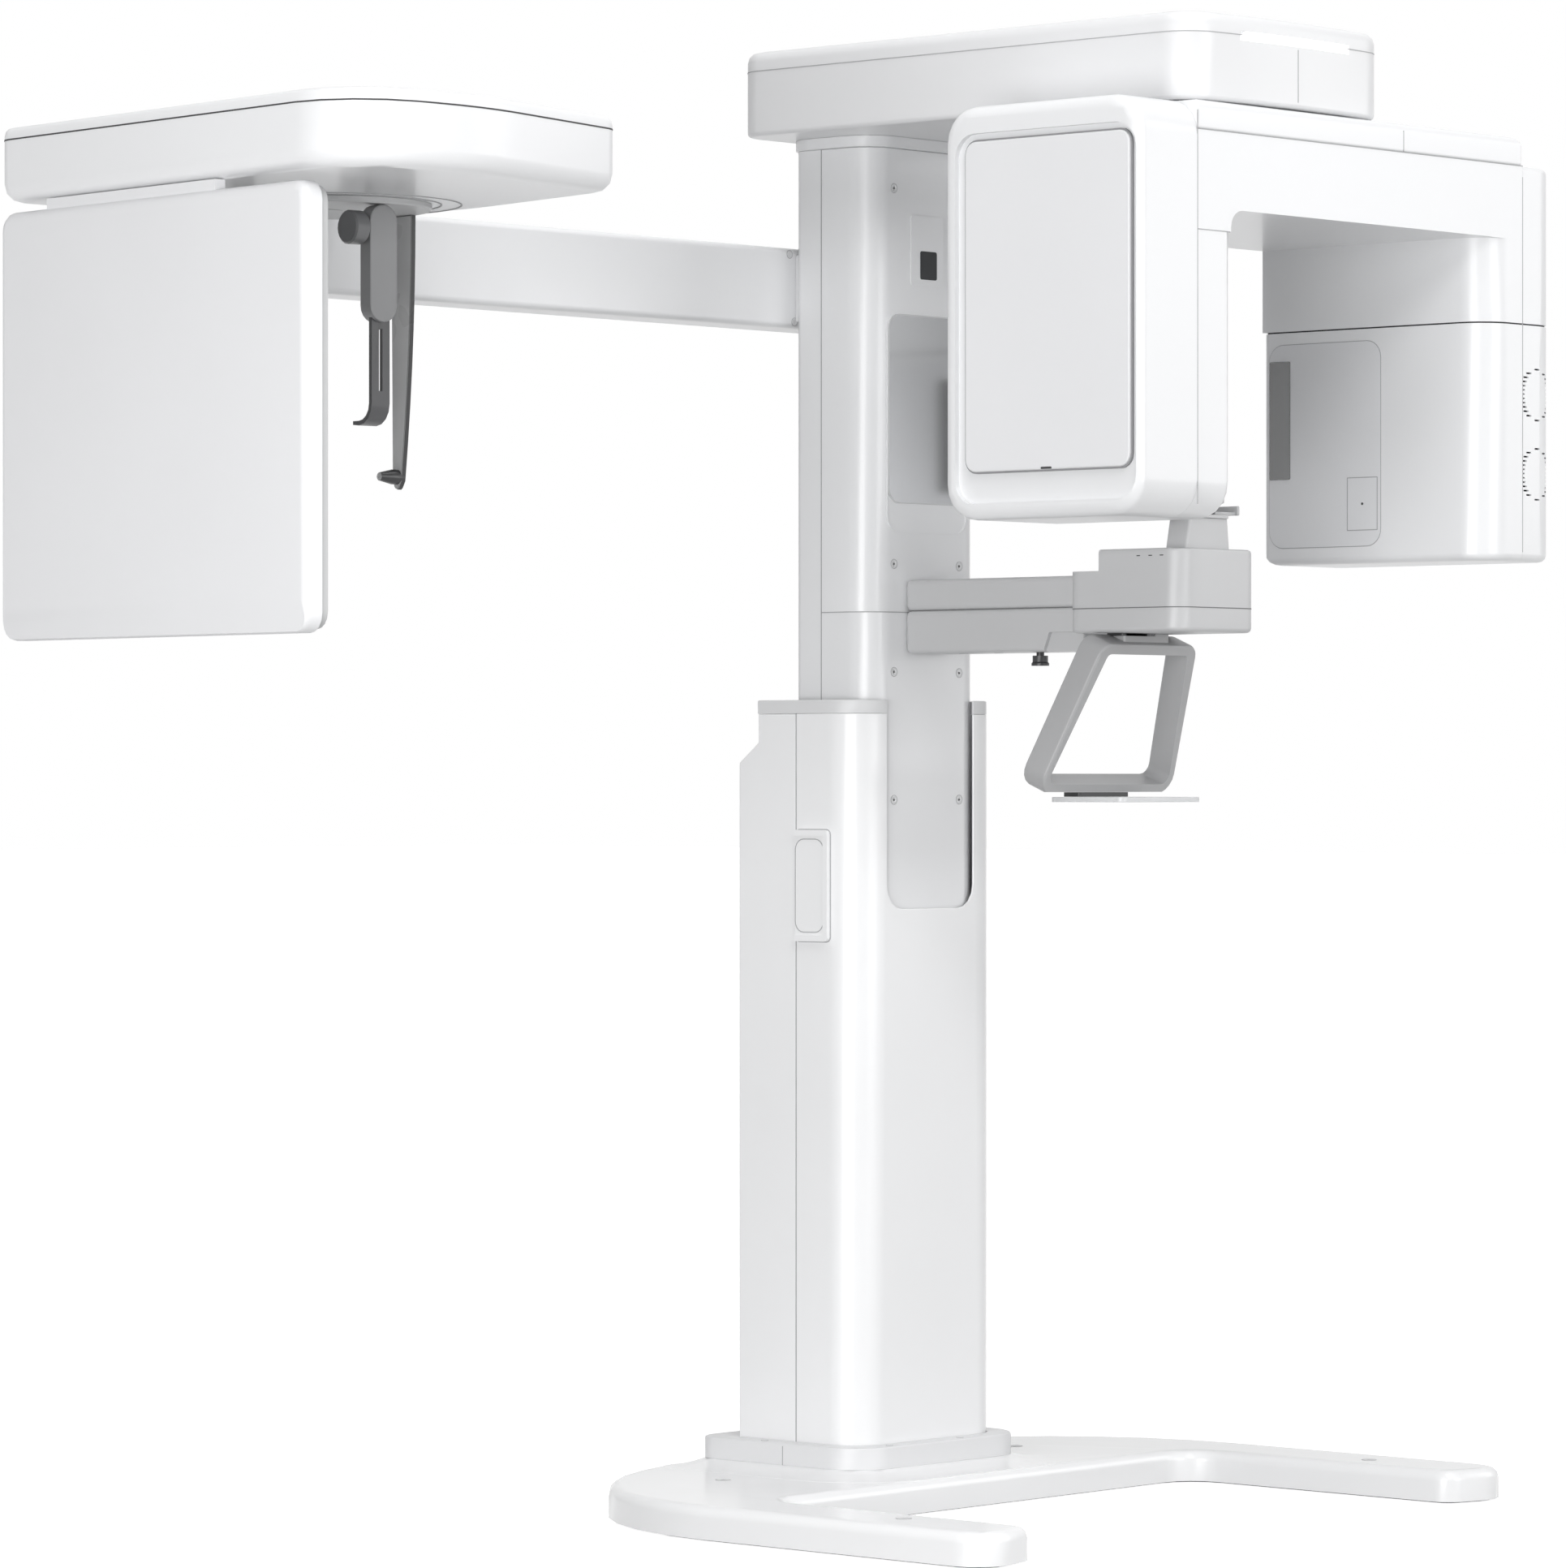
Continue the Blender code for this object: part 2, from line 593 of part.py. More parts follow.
# ---------------------------------------------------------------- moving column
def make_column():
    channel("column_lower_cover", COLUMN_HALF_WIDTH, COLUMN_FRONT, COLUMN_SEAM,
            COLUMN_CORNER, WALL, COLUMN_BOTTOM, COLUMN_SPLIT - GAP, "white")
    channel("column_upper_cover", COLUMN_HALF_WIDTH, COLUMN_FRONT, COLUMN_SEAM,
            COLUMN_CORNER, WALL, COLUMN_SPLIT, COLUMN_TOP - GAP, "white")
    channel("column_rear_cover", COLUMN_HALF_WIDTH, COLUMN_SEAM + GAP, COLUMN_REAR, 0.012, WALL,
            COLUMN_BOTTOM, COLUMN_TOP - GAP, "white", opens="front")
    frame_x = MAST_HALF_WIDTH + PLAY + FRAME_WALL
    frame = box("column_frame", -frame_x, frame_x, MAST_FRONT - PLAY - FRAME_WALL,
                MAST_REAR + PLAY + FRAME_WALL, COLUMN_BOTTOM, COLUMN_TOP - GAP, "steel")
    cut_box(frame, -frame_x + FRAME_WALL, frame_x - FRAME_WALL, MAST_FRONT - PLAY,
            MAST_REAR + PLAY, 0.0, 2.0)

    plate_y = COLUMN_FRONT - GAP
    box("column_mirror", -MIRROR_HALF_WIDTH, MIRROR_HALF_WIDTH, plate_y - TRIM_THICKNESS, plate_y,
        MIRROR_BOTTOM, MIRROR_TOP, "mirror", MIRROR_CORNER, "Y")
    box("label_plate", -LABEL_HALF_WIDTH, LABEL_HALF_WIDTH, plate_y - TRIM_THICKNESS, plate_y,
        LABEL_BOTTOM, LABEL_TOP, "white", 0.004, "Y")
    collar_x = COLUMN_HALF_WIDTH + NECK_MARGIN
    box("neck_plate", -collar_x, collar_x, COLUMN_FRONT - NECK_MARGIN, COLUMN_REAR + NECK_MARGIN,
        COLUMN_TOP, HOUSING_BOTTOM - GAP, "white", 0.045)


def housing_outline(distance=0.0):
    """The top housing's plan: rounded corners, and a front that bows outward."""
    outline = []
    corners = rectangle(-HOUSING_HALF_WIDTH, HOUSING_HALF_WIDTH, HOUSING_FRONT, HOUSING_REAR,
                        (HOUSING_CORNER, HOUSING_CORNER, 0.04, 0.04), 5)
    for x, y in corners[:6]:
        outline.append((x, y))
    flat = HOUSING_HALF_WIDTH - HOUSING_CORNER
    for i in range(1, 6):
        x = -flat + 2 * flat * i / 6
        outline.append((x, HOUSING_FRONT - HOUSING_BOW * (1 - (x / flat) ** 2)))
    outline.extend(corners[6:])
    return inset(outline, distance) if distance > 0 else outline


def make_housing():
    outline = housing_outline()
    shell = prism("top_shell", outline, HOUSING_BOTTOM, HOUSING_SEAM - GAP, "white", bottom=0.006)
    combine(shell, prism("cutter", housing_outline(HOUSING_WALL), HOUSING_BOTTOM + HOUSING_WALL,
                         HOUSING_TOP, "white", bottom=0.005))
    throat = SPINDLE_RADIUS + 0.004
    cut_box(shell, -throat, throat, AXIS_Y - CARRIAGE_TRAVEL - throat,
            AXIS_Y + CARRIAGE_TRAVEL + throat, HOUSING_BOTTOM - 0.05, HOUSING_BOTTOM + 0.05, throat * 0.98)
    cover = prism("top_cover", outline, HOUSING_SEAM, HOUSING_TOP, "white", top=0.014)
    combine(cover, prism("cutter", housing_outline(HOUSING_WALL), HOUSING_SEAM - 0.1,
                         HOUSING_TOP - HOUSING_WALL, "white", top=0.012))

    low = HOUSING_SEAM - 0.007
    high = low + LIGHT_HEIGHT + 0.002
    depth = 0.0035
    front = HOUSING_FRONT - HOUSING_BOW - 0.01
    light = prism("light_bar", outline, low + GAP, high - GAP, "clear")
    combine(light, prism("cutter", housing_outline(depth - GAP), low - 0.1, high + 0.1, "white"))
    combine(light, box("cutter", -LIGHT_HALF_WIDTH + GAP, LIGHT_HALF_WIDTH - GAP, front,
                       HOUSING_FRONT + 0.02, low - 0.1, high + 0.1, "white"), "INTERSECT")
    for target in (shell, cover):
        groove = prism("cutter", housing_outline(), low, high, "white")
        combine(groove, prism("cutter_core", housing_outline(depth), low - 0.1, high + 0.1, "white"))
        combine(groove, box("cutter_limit", -LIGHT_HALF_WIDTH, LIGHT_HALF_WIDTH, front,
                            HOUSING_FRONT + 0.02, low - 0.1, high + 0.1, "white"), "INTERSECT")
        combine(target, groove)


# ---- carriage inside the top housing
SPINDLE_RADIUS = 0.035
JOURNAL_RADIUS = 0.020
WHEEL_RADIUS = 0.070
PINION_RADIUS = 0.0175
MOTOR_RADIUS = 0.026
MOTOR_HEIGHT = 0.038
WHEEL_BOTTOM = 1.812
WHEEL_THICKNESS = 0.010
CARRIAGE_THICKNESS = 0.012


def make_carriage():
    wheel_top = WHEEL_BOTTOM + WHEEL_THICKNESS
    low = wheel_top + 0.003
    top = low + CARRIAGE_THICKNESS
    motor_y = AXIS_Y + WHEEL_RADIUS + PINION_RADIUS + 0.0005
    plate = box("carriage_plate", -0.120, 0.120, AXIS_Y - 0.100, motor_y + 0.060, low, top,
                "steel", 0.012)
    combine(plate, prism("cutter", circle(0, AXIS_Y, JOURNAL_RADIUS + 0.001), 1.7, 1.9, "steel"))
    combine(plate, prism("cutter", circle(0, motor_y, 0.007, 16), 1.7, 1.9, "steel"))
    turned("drive_motor", [(0, top + GAP), (MOTOR_RADIUS, top + GAP),
                           (MOTOR_RADIUS, top + MOTOR_HEIGHT), (0, top + MOTOR_HEIGHT)],
           "dark", y=motor_y, sides=20)
    pinion = turned("motor_pinion", [
        (0, WHEEL_BOTTOM), (PINION_RADIUS, WHEEL_BOTTOM), (PINION_RADIUS, wheel_top),
        (0.006, wheel_top), (0.006, top - 0.002), (0, top - 0.002)], "steel", y=motor_y, sides=20)
    pivot(pinion, 0, motor_y, WHEEL_BOTTOM)
    spindle = turned("rotor_spindle", [
        (0, ARM_TOP + GAP), (SPINDLE_RADIUS, ARM_TOP + GAP), (SPINDLE_RADIUS, WHEEL_BOTTOM),
        (WHEEL_RADIUS, WHEEL_BOTTOM), (WHEEL_RADIUS, wheel_top), (JOURNAL_RADIUS, wheel_top),
        (JOURNAL_RADIUS, top + 0.006), (0, top + 0.006)], "steel", y=AXIS_Y, sides=32)
    pivot(spindle, 0, AXIS_Y, ARM_TOP)


# ---------------------------------------------------------------- turning C-arm
def make_detector():
    outline = rectangle(ARM_FRONT, DETECTOR_REAR, DETECTOR_BOTTOM, ARM_TOP, ARM_CORNER, 5)
    cover = prism("detector_cover", outline, DETECTOR_OUTER, DETECTOR_SPLIT - GAP, "white", "X",
                  bottom=0.014)
    recess_depth = 0.008
    band = rectangle(FACE_FRONT - FACE_FRAME, FACE_REAR + FACE_REAR_FRAME, FACE_BOTTOM - FACE_LEDGE,
                     FACE_TOP + FACE_FRAME, 0.030, 5)
    combine(cover, prism("cutter", band, DETECTOR_OUTER - 0.1, DETECTOR_OUTER + recess_depth, "white", "X"))
    panel = rectangle(FACE_FRONT, FACE_REAR, FACE_BOTTOM, FACE_TOP, 0.016, 5)
    prism("detector_panel", panel, DETECTOR_OUTER + 0.001, DETECTOR_OUTER + recess_depth - GAP, "white",
          "X", bottom=0.002)

    tall = rectangle(ARM_FRONT, DETECTOR_REAR, DETECTOR_BOTTOM, DETECTOR_SEAM + 0.10, ARM_CORNER, 5)
    inner = prism("detector_inner", tall, DETECTOR_SPLIT, DETECTOR_INNER, "white", "X", top=0.010)
    cut_box(inner, -1, 1, -1, 0, DETECTOR_SEAM - GAP, 2)


def make_bridge():
    profile = filleted([
        (DETECTOR_SPLIT, DETECTOR_SEAM, 0),
        (DETECTOR_INNER, DETECTOR_SEAM, 0),
        (DETECTOR_INNER, BRIDGE_BOTTOM, 0.022),
        (GENERATOR_INNER, BRIDGE_BOTTOM, 0),
        (GENERATOR_INNER, GENERATOR_SEAM + 0.001, 0),
        (GENERATOR_SPLIT - GAP, GENERATOR_SEAM + 0.001, 0),
        (GENERATOR_SPLIT - GAP, BRIDGE_SEAM, 0),
        (DETECTOR_SPLIT, BRIDGE_SEAM, 0)], 5)
    shell = prism("bridge_shell", profile, ARM_FRONT, BRIDGE_REAR, "white", "Y")
    corner = rectangle(GENERATOR_INNER, 1.0, ARM_FRONT, 0.0, (ARM_CORNER, 0, 0, 0), 5)
    waste = rectangle(GENERATOR_INNER - 0.020, GENERATOR_INNER + ARM_CORNER, ARM_FRONT - 0.020,
                      ARM_FRONT + ARM_CORNER, 0)
    below = GENERATOR_SEAM - 0.010
    cutter = prism("cutter", waste, below, BRIDGE_BOTTOM - 0.0002, "white")
    combine(cutter, prism("rounded", corner, below - 0.010, ARM_TOP, "white"))
    combine(shell, cutter)
    prism("bridge_cover", rectangle(DETECTOR_SPLIT, GENERATOR_SPLIT - GAP, ARM_FRONT, BRIDGE_REAR, 0),
          BRIDGE_SEAM + GAP, ARM_TOP, "white", top=0.012)


def round_edge(obj, along, u, v, radius, toward_u, toward_v):
    """Round the long edge at (u, v) along an axis; the body lies toward_u and toward_v of it."""
    beyond = 0.020
    steps = 5
    centre_u = u + toward_u * radius
    centre_v = v + toward_v * radius
    outline = [(u - toward_u * beyond, v - toward_v * beyond), (centre_u, v - toward_v * beyond)]
    for i in range(steps + 1):
        angle = math.pi / 2 * i / steps
        outline.append((centre_u - toward_u * radius * math.sin(angle),
                        centre_v - toward_v * radius * math.cos(angle)))
    outline.append((u - toward_u * beyond, centre_v))
    if toward_u * toward_v < 0:
        outline.reverse()
    return combine(obj, prism("cutter", outline, -2, 2, "white", along))


def vent_slots(z):
    """Centres of the slots of one vent: a ring of short bars, as X offset and height."""
    centres = []
    rows = 12
    for i in range(rows + 1):
        height = FAN_RADIUS * (1 - 2 * i / rows)
        reach = math.sqrt(max(0.0, FAN_RADIUS ** 2 - height ** 2))
        if reach < 0.006:
            centres.append((0.0, z + height))
        else:
            centres.extend([(-reach, z + height), (reach, z + height)])
    return centres


def fan(name, z):
    """A five-bladed impeller behind its vent."""
    sides = 40
    outline = []
    for i in range(sides):
        angle = 2 * math.pi * i / sides
        swell = 0.5 + 0.5 * math.cos(5 * angle)
        radius = 0.009 + (FAN_RADIUS - 0.012) * swell
        outline.append((FAN_X + radius * math.cos(angle), z + radius * math.sin(angle)))
    front = ARM_FRONT + WALL + 0.013
    obj = prism(name, outline, front, front + 0.010, "dark", "Y")
    return pivot(obj, FAN_X, front + 0.005, z)


def make_generator():
    seam = GENERATOR_SEAM - 0.001
    reach = 0.060
    plan = rectangle(GENERATOR_INNER, GENERATOR_SPLIT + reach, ARM_FRONT, GENERATOR_REAR,
                     (ARM_CORNER, 0, 0, REAR_CORNER), 5)
    shell = prism("generator_shell", plan, GENERATOR_BOTTOM, seam, "white", bottom=0.010)
    inside = rectangle(GENERATOR_INNER + WALL, 1.0, ARM_FRONT + WALL, GENERATOR_REAR - WALL,
                       (ARM_CORNER - WALL, 0, 0, REAR_CORNER - WALL), 5)
    inner_foot = (GENERATOR_REAR - WALL, GENERATOR_BOTTOM + WALL, FOOT_RADIUS - WALL)
    inner_side = (GENERATOR_OUTER - WALL, GENERATOR_BOTTOM + WALL, FOOT_RADIUS - WALL)
    space = prism("space", inside, GENERATOR_BOTTOM + WALL, seam - WALL, "white", bottom=0.007)
    combine(shell, round_edge(space, "X", *inner_foot, -1, 1))
    round_edge(shell, "X", GENERATOR_REAR, GENERATOR_BOTTOM, FOOT_RADIUS, -1, 1)
    cut_box(shell, GENERATOR_SPLIT - GAP, 1.0, -1, 0, 1, 2)

    end_plan = rectangle(GENERATOR_SPLIT - reach, GENERATOR_OUTER, ARM_FRONT, GENERATOR_REAR,
                         (0, ARM_CORNER, ARM_CORNER, 0), 5)
    end = prism("generator_end_lower", end_plan, GENERATOR_BOTTOM, seam, "white", bottom=0.010)
    end_inside = rectangle(0.0, GENERATOR_OUTER - WALL, ARM_FRONT + WALL, GENERATOR_REAR - WALL,
                           (0, ARM_CORNER - WALL, ARM_CORNER - WALL, 0), 5)
    space = prism("space", end_inside, GENERATOR_BOTTOM + WALL, seam - WALL, "white", bottom=0.007)
    round_edge(space, "X", *inner_foot, -1, 1)
    combine(end, round_edge(space, "Y", *inner_side, -1, 1))
    round_edge(end, "X", GENERATOR_REAR, GENERATOR_BOTTOM, FOOT_RADIUS, -1, 1)
    round_edge(end, "Y", GENERATOR_OUTER, GENERATOR_BOTTOM, FOOT_RADIUS, -1, 1)
    cut_box(end, 0.0, GENERATOR_SPLIT, -1, 0, 1, 2)
    slots = None
    for z in (FAN_UPPER_Z, FAN_LOWER_Z):
        for dx, height in vent_slots(z):
            x = FAN_X + dx
            past = max(0.0, x + SLOT_HALF_LENGTH - GENERATOR_OUTER + ARM_CORNER)
            curve = ARM_CORNER - math.sqrt(ARM_CORNER ** 2 - past ** 2)
            slot = box("slot", x - SLOT_HALF_LENGTH, x + SLOT_HALF_LENGTH, ARM_FRONT - 0.01,
                       ARM_FRONT + curve + WALL * 1.5, height - SLOT_HALF_HEIGHT,
                       height + SLOT_HALF_HEIGHT, "dark")
            if slots is None:
                slots = slot
            else:
                joined = bmesh.new()
                joined.from_mesh(slots.data)
                joined.from_mesh(slot.data)
                joined.to_mesh(slots.data)
                joined.free()
                bpy.data.objects.remove(slot, do_unlink=True)
    combine(end, slots)

    top_end = prism("generator_end_upper", end_plan, GENERATOR_SEAM + 0.001, BRIDGE_SEAM, "white",
                    top=0.006)
    round_edge(top_end, "Y", GENERATOR_OUTER, BRIDGE_SEAM, SHOULDER_RADIUS, -1, -1)
    cut_box(top_end, 0.0, GENERATOR_SPLIT, -1, 0, 1, 2)

    fan("fan_upper", FAN_UPPER_Z)
    fan("fan_lower", FAN_LOWER_Z)
    box("collimator_window", GENERATOR_INNER - GAP - TRIM_THICKNESS, GENERATOR_INNER - GAP,
        GENERATOR_REAR - 0.047, GENERATOR_REAR - 0.013, WINDOW_Z - WINDOW_HALF_HEIGHT,
        WINDOW_Z + WINDOW_HALF_HEIGHT, "dark", 0.002, "X")


# ---------------------------------------------------------------- patient support
def make_support():
    rear = COLUMN_FRONT - GAP
    front = HEAD_REAR + GAP
    arm = box("chin_arm_lower", -SUPPORT_HALF_WIDTH, SUPPORT_HALF_WIDTH, front, rear, SUPPORT_BOTTOM,
              SUPPORT_SEAM - GAP, "light_grey", 0.008, "X", bottom=0.006, top=0.006)
    pocket = [(front + 0.0015, SUPPORT_BOTTOM - 0.01), (front + 0.070, SUPPORT_BOTTOM - 0.01),
              (front + 0.066, SUPPORT_BOTTOM), (front + 0.056, HEAD_BOTTOM + 0.003),
              (front + 0.0015, HEAD_BOTTOM + 0.003)]
    for side in (-1, 1):
        deep = side * (SUPPORT_HALF_WIDTH - POCKET_DEPTH)
        out = side * (SUPPORT_HALF_WIDTH + 0.01)
        combine(arm, prism("cutter", pocket, min(deep, out), max(deep, out), "light_grey", "X"))
    stem = 0.005
    combine(arm, prism("cutter", circle(0, ESTOP_Y, stem + 0.001, 16), SUPPORT_BOTTOM - 0.01,
                       SUPPORT_BOTTOM + 0.018, "dark"))
    box("chin_arm_upper", -SUPPORT_HALF_WIDTH, SUPPORT_HALF_WIDTH, front, rear, SUPPORT_SEAM,
        SUPPORT_TOP, "light_grey", 0.008, "X", bottom=0.006, top=0.006)

    flange = SUPPORT_BOTTOM - ESTOP_TRAVEL - 0.0005
    knob = turned("estop_knob", [
        (0, flange - ESTOP_HEIGHT), (ESTOP_RADIUS + 0.0015, flange - ESTOP_HEIGHT),
        (ESTOP_RADIUS + 0.0015, flange - ESTOP_HEIGHT + 0.003),
        (ESTOP_RADIUS, flange - ESTOP_HEIGHT + 0.005),
        (ESTOP_RADIUS, flange), (stem, flange), (stem, flange + 0.016), (0, flange + 0.016)],
        "dark", y=ESTOP_Y, sides=20)
    pivot(knob, 0, ESTOP_Y, flange)

    plan = rectangle(-HEAD_HALF_WIDTH, HEAD_HALF_WIDTH, HEAD_FRONT, HEAD_REAR, HEAD_CORNER)
    prism("chin_head_lower", plan, HEAD_BOTTOM, HEAD_SEAM - GAP, "light_grey", bottom=0.006)
    head = prism("chin_head_upper", plan, HEAD_SEAM, HEAD_TOP, "light_grey", top=0.004, steps=2)
    cut_box(head, -1, 1, HEAD_STEP, 0, HEAD_STEP_TOP, 2)

    post_low = rectangle(-POST_HALF_WIDTH - 0.008, POST_HALF_WIDTH + 0.004, POST_FRONT, POST_REAR, 0.004)
    post_high = rectangle(-POST_HALF_WIDTH, POST_HALF_WIDTH, POST_FRONT, POST_REAR, 0.004)
    stack("chin_post", [(post_low, HEAD_TOP + GAP), (post_high, POST_TOP)], "light_grey")
    plate = rectangle(-POST_HALF_WIDTH - 0.003, POST_HALF_WIDTH + 0.003, POST_FRONT - 0.003,
                      POST_REAR + 0.003, 0.010)
    foot = rectangle(-0.020, 0.020, POST_FRONT + 0.010, POST_REAR - 0.010, 0.007)
    lip = rectangle(-0.034, 0.034, POST_FRONT - 0.004, POST_REAR + 0.006, 0.014)
    base = POST_TOP + GAP
    cup = stack("chin_cup", [(plate, base), (plate, base + 0.004), (foot, base + 0.0045),
                             (foot, base + 0.010), (lip, base + 0.020), (lip, base + 0.028)],
                "light_grey")
    bowl = rectangle(-0.028, 0.028, POST_FRONT + 0.002, POST_REAR, 0.010)
    combine(cup, prism("cutter", bowl, base + 0.018, base + 0.1, "white"))
    stick_y = POST_REAR + 0.002
    combine(cup, box("stick", -0.007, 0.007, stick_y, stick_y + 0.005, base + 0.010, base + 0.070,
                     "light_grey", 0.002), "UNION")

    middle = (POST_FRONT + POST_REAR) / 2
    low = base + 0.005
    slim = 0.004
    back = middle + TEMPLE_SETBACK
    bend = low + TEMPLE_HEIGHT * 0.6
    tip = low + TEMPLE_HEIGHT
    blade = [(middle - 0.012, low), (back + 0.012, low), (back + 0.016, bend), (back + 0.010, tip),
             (back - 0.014, tip), (back - 0.008, bend), (back - 0.010, low + 0.012),
             (middle - 0.012, low + 0.012)]
    for name, side in (("temple_left", -1), ("temple_right", 1)):
        near = side * TEMPLE_HALF_GAP
        far = side * (TEMPLE_HALF_GAP + TEMPLE_THICKNESS)
        arm = prism(name, blade, min(near, far), max(near, far), "light_grey", "X", bottom=0.001,
                    top=0.001, steps=1)
        inner = side * 0.025
        outer = side * (TEMPLE_HALF_GAP + 0.002)
        combine(arm, box("slide", min(inner, outer), max(inner, outer), middle - 0.007, middle + 0.007,
                         low, low + slim, "light_grey"), "UNION")


def make_handle():
    """The hand grip: a rounded trapezoid band that leans back, with a tray clamped under it."""
    length = math.hypot(HANDLE_BOTTOM_Y - HANDLE_TOP_Y, HANDLE_TOP_Z - HANDLE_BOTTOM_Z)
    lean = math.atan2(HANDLE_BOTTOM_Y - HANDLE_TOP_Y, HANDLE_TOP_Z - HANDLE_BOTTOM_Z)
    half = HANDLE_THICKNESS / 2
    slope = (HANDLE_BOTTOM_HALF - HANDLE_TOP_HALF) / length
    outer = filleted([(-HANDLE_BOTTOM_HALF - half, -half, 0.024), (HANDLE_BOTTOM_HALF + half, -half, 0.024),
                      (HANDLE_TOP_HALF + half, length + half, 0.020),
                      (-HANDLE_TOP_HALF - half, length + half, 0.020)], 5)
    low = HANDLE_BOTTOM_HALF - half
    high = HANDLE_TOP_HALF - half - slope * half
    inner = filleted([(-low, half, 0.012), (low, half, 0.012), (high, length - half, 0.008),
                      (-high, length - half, 0.008)], 4)
    put = (Matrix.Translation((0, HANDLE_BOTTOM_Y, HANDLE_BOTTOM_Z))
           @ Matrix.Rotation(lean, 4, "X"))
    band = prism("handle_loop", outer, -HANDLE_DEPTH / 2, HANDLE_DEPTH / 2, "mid_grey", "Y",
                 bottom=0.004, top=0.004, matrix=put, steps=2)
    combine(band, prism("cutter", inner, -0.1, 0.1, "mid_grey", "Y", matrix=put))
    combine(band, box("saddle", -0.045, 0.045, HANDLE_TOP_Y - 0.012, HANDLE_TOP_Y + 0.012,
                      HANDLE_TOP_Z, HEAD_BOTTOM - GAP, "mid_grey", 0.003), "UNION")
    foot = HANDLE_BOTTOM_Z - half * math.cos(lean) - HANDLE_DEPTH / 2 * math.sin(lean) + 0.0035
    cut_box(band, -0.2, 0.2, HANDLE_BOTTOM_Y - 0.1, HANDLE_BOTTOM_Y + 0.1, foot - 0.05, foot)
    clamp = foot - 0.006
    box("tray_clamp", -0.050, 0.050, HANDLE_BOTTOM_Y - 0.014, HANDLE_BOTTOM_Y + 0.014, clamp,
        foot - GAP, "dark", 0.004)
    box("tray_plate", -TRAY_HALF_WIDTH, TRAY_HALF_WIDTH, TRAY_FRONT, TRAY_REAR + 0.004,
        clamp - GAP - TRAY_THICKNESS, clamp - GAP, "clear", 0.010)


# ---------------------------------------------------------------- cephalometric arm
def make_ceph_arm():
    box("ceph_bracket", -0.100, COLUMN_HALF_WIDTH - 0.020, COLUMN_REAR + GAP, CEPH_ARM_FRONT - GAP,
        CEPH_ARM_BOTTOM + 0.008, CEPH_ARM_TOP - 0.008, "steel", 0.004, "Y")
    rear = CEPH_ARM_FRONT + CEPH_ARM_DEPTH
    arm = box("ceph_arm", CEPH_ARM_END, COLUMN_HALF_WIDTH - 0.010, CEPH_ARM_FRONT, rear,
              CEPH_ARM_BOTTOM, CEPH_ARM_TOP, "white", (0.030, 0.010, 0.010, 0.030), bottom=0.008, top=0.008)
    return arm


def box_outline(distance=0.0):
    """The plan of the cephalometric box in its own turned axes: a bowed front and right side."""
    outline = filleted([(-0.345, 0.318, 0.030), (-0.345, -0.378, 0.095), (-0.150, -0.372, 0.400),
                        (0.128, -0.266, 0.035), (0.152, 0.020, 0.350),
                        (0.094, 0.348, 0.070)], 4)
    return inset(outline, distance) if distance > 0 else outline


def make_ceph_box(put):
    shell = prism("ceph_shell", box_outline(), BOX_BOTTOM, BOX_SEAM - GAP, "white", bottom=0.022,
                  matrix=put)
    combine(shell, prism("cutter", box_outline(BOX_WALL), BOX_BOTTOM + BOX_WALL, BOX_TOP, "white",
                         bottom=0.018, matrix=put))
    slack = 2 * GAP
    cut_box(shell, CEPH_ARM_END - slack, 0.0, CEPH_ARM_FRONT - slack,
            CEPH_ARM_FRONT + CEPH_ARM_DEPTH + slack, BOX_BOTTOM - 0.05, CEPH_ARM_TOP + slack)
    prism("ceph_cover", box_outline(), BOX_SEAM, BOX_TOP, "white", top=0.010, matrix=put)


def make_ceph_panel(put):
    outer = PANEL_LEFT
    split = PANEL_LEFT + PANEL_THICKNESS - PANEL_BACK_THICKNESS
    shell = prism("panel_shell", rectangle(PANEL_FRONT, PANEL_REAR, PANEL_BOTTOM, PANEL_TOP, 0.022, 4),
                  outer, split - GAP, "white", "X", bottom=0.010, matrix=put)
    band = [(outer - 0.01, PANEL_BAND_TOP), (outer, PANEL_BAND_TOP), (outer + 0.005, PANEL_BOTTOM - 0.001),
            (outer - 0.01, PANEL_BOTTOM - 0.001)]
    wedge = prism("cutter", [(x, z) for x, z in band], PANEL_FRONT - 0.1, PANEL_REAR + 0.1, "white", "Y",
                  matrix=put)
    combine(shell, wedge)
    prism("panel_face", rectangle(PANEL_FRONT + 0.004, PANEL_REAR - 0.004, PANEL_BOTTOM + 0.004,
                                  PANEL_TOP - 0.004, 0.020, 4),
          split, outer + PANEL_THICKNESS, "light_grey", "X", top=0.003, matrix=put, steps=2)
    combine(shell, box("hanger", outer + 0.006, outer + 0.020, PANEL_FRONT + 0.180, PANEL_REAR - 0.090,
                       PANEL_TOP - 0.004, BOX_BOTTOM - GAP, "white", matrix=put), "UNION")


def ear_rod_outline(top, half_width):
    """A blade whose front edge sweeps back towards its round lower end."""
    steps = 7
    drop = top - ROD_BOTTOM - 0.010
    rear = []
    front = []
    for i in range(steps + 1):
        down = i / steps
        rear.append((CHUCK_Y + half_width - 0.003 * down, top - drop * down))
        front.append((CHUCK_Y - half_width + 0.020 * down ** 2, top - drop * down))
    toe = [(CHUCK_Y + half_width - 0.007, ROD_BOTTOM + 0.002), (CHUCK_Y + half_width - 0.012, ROD_BOTTOM),
           (CHUCK_Y + 0.005, ROD_BOTTOM + 0.002)]
    return list(reversed(rear + toe + front[::-1]))


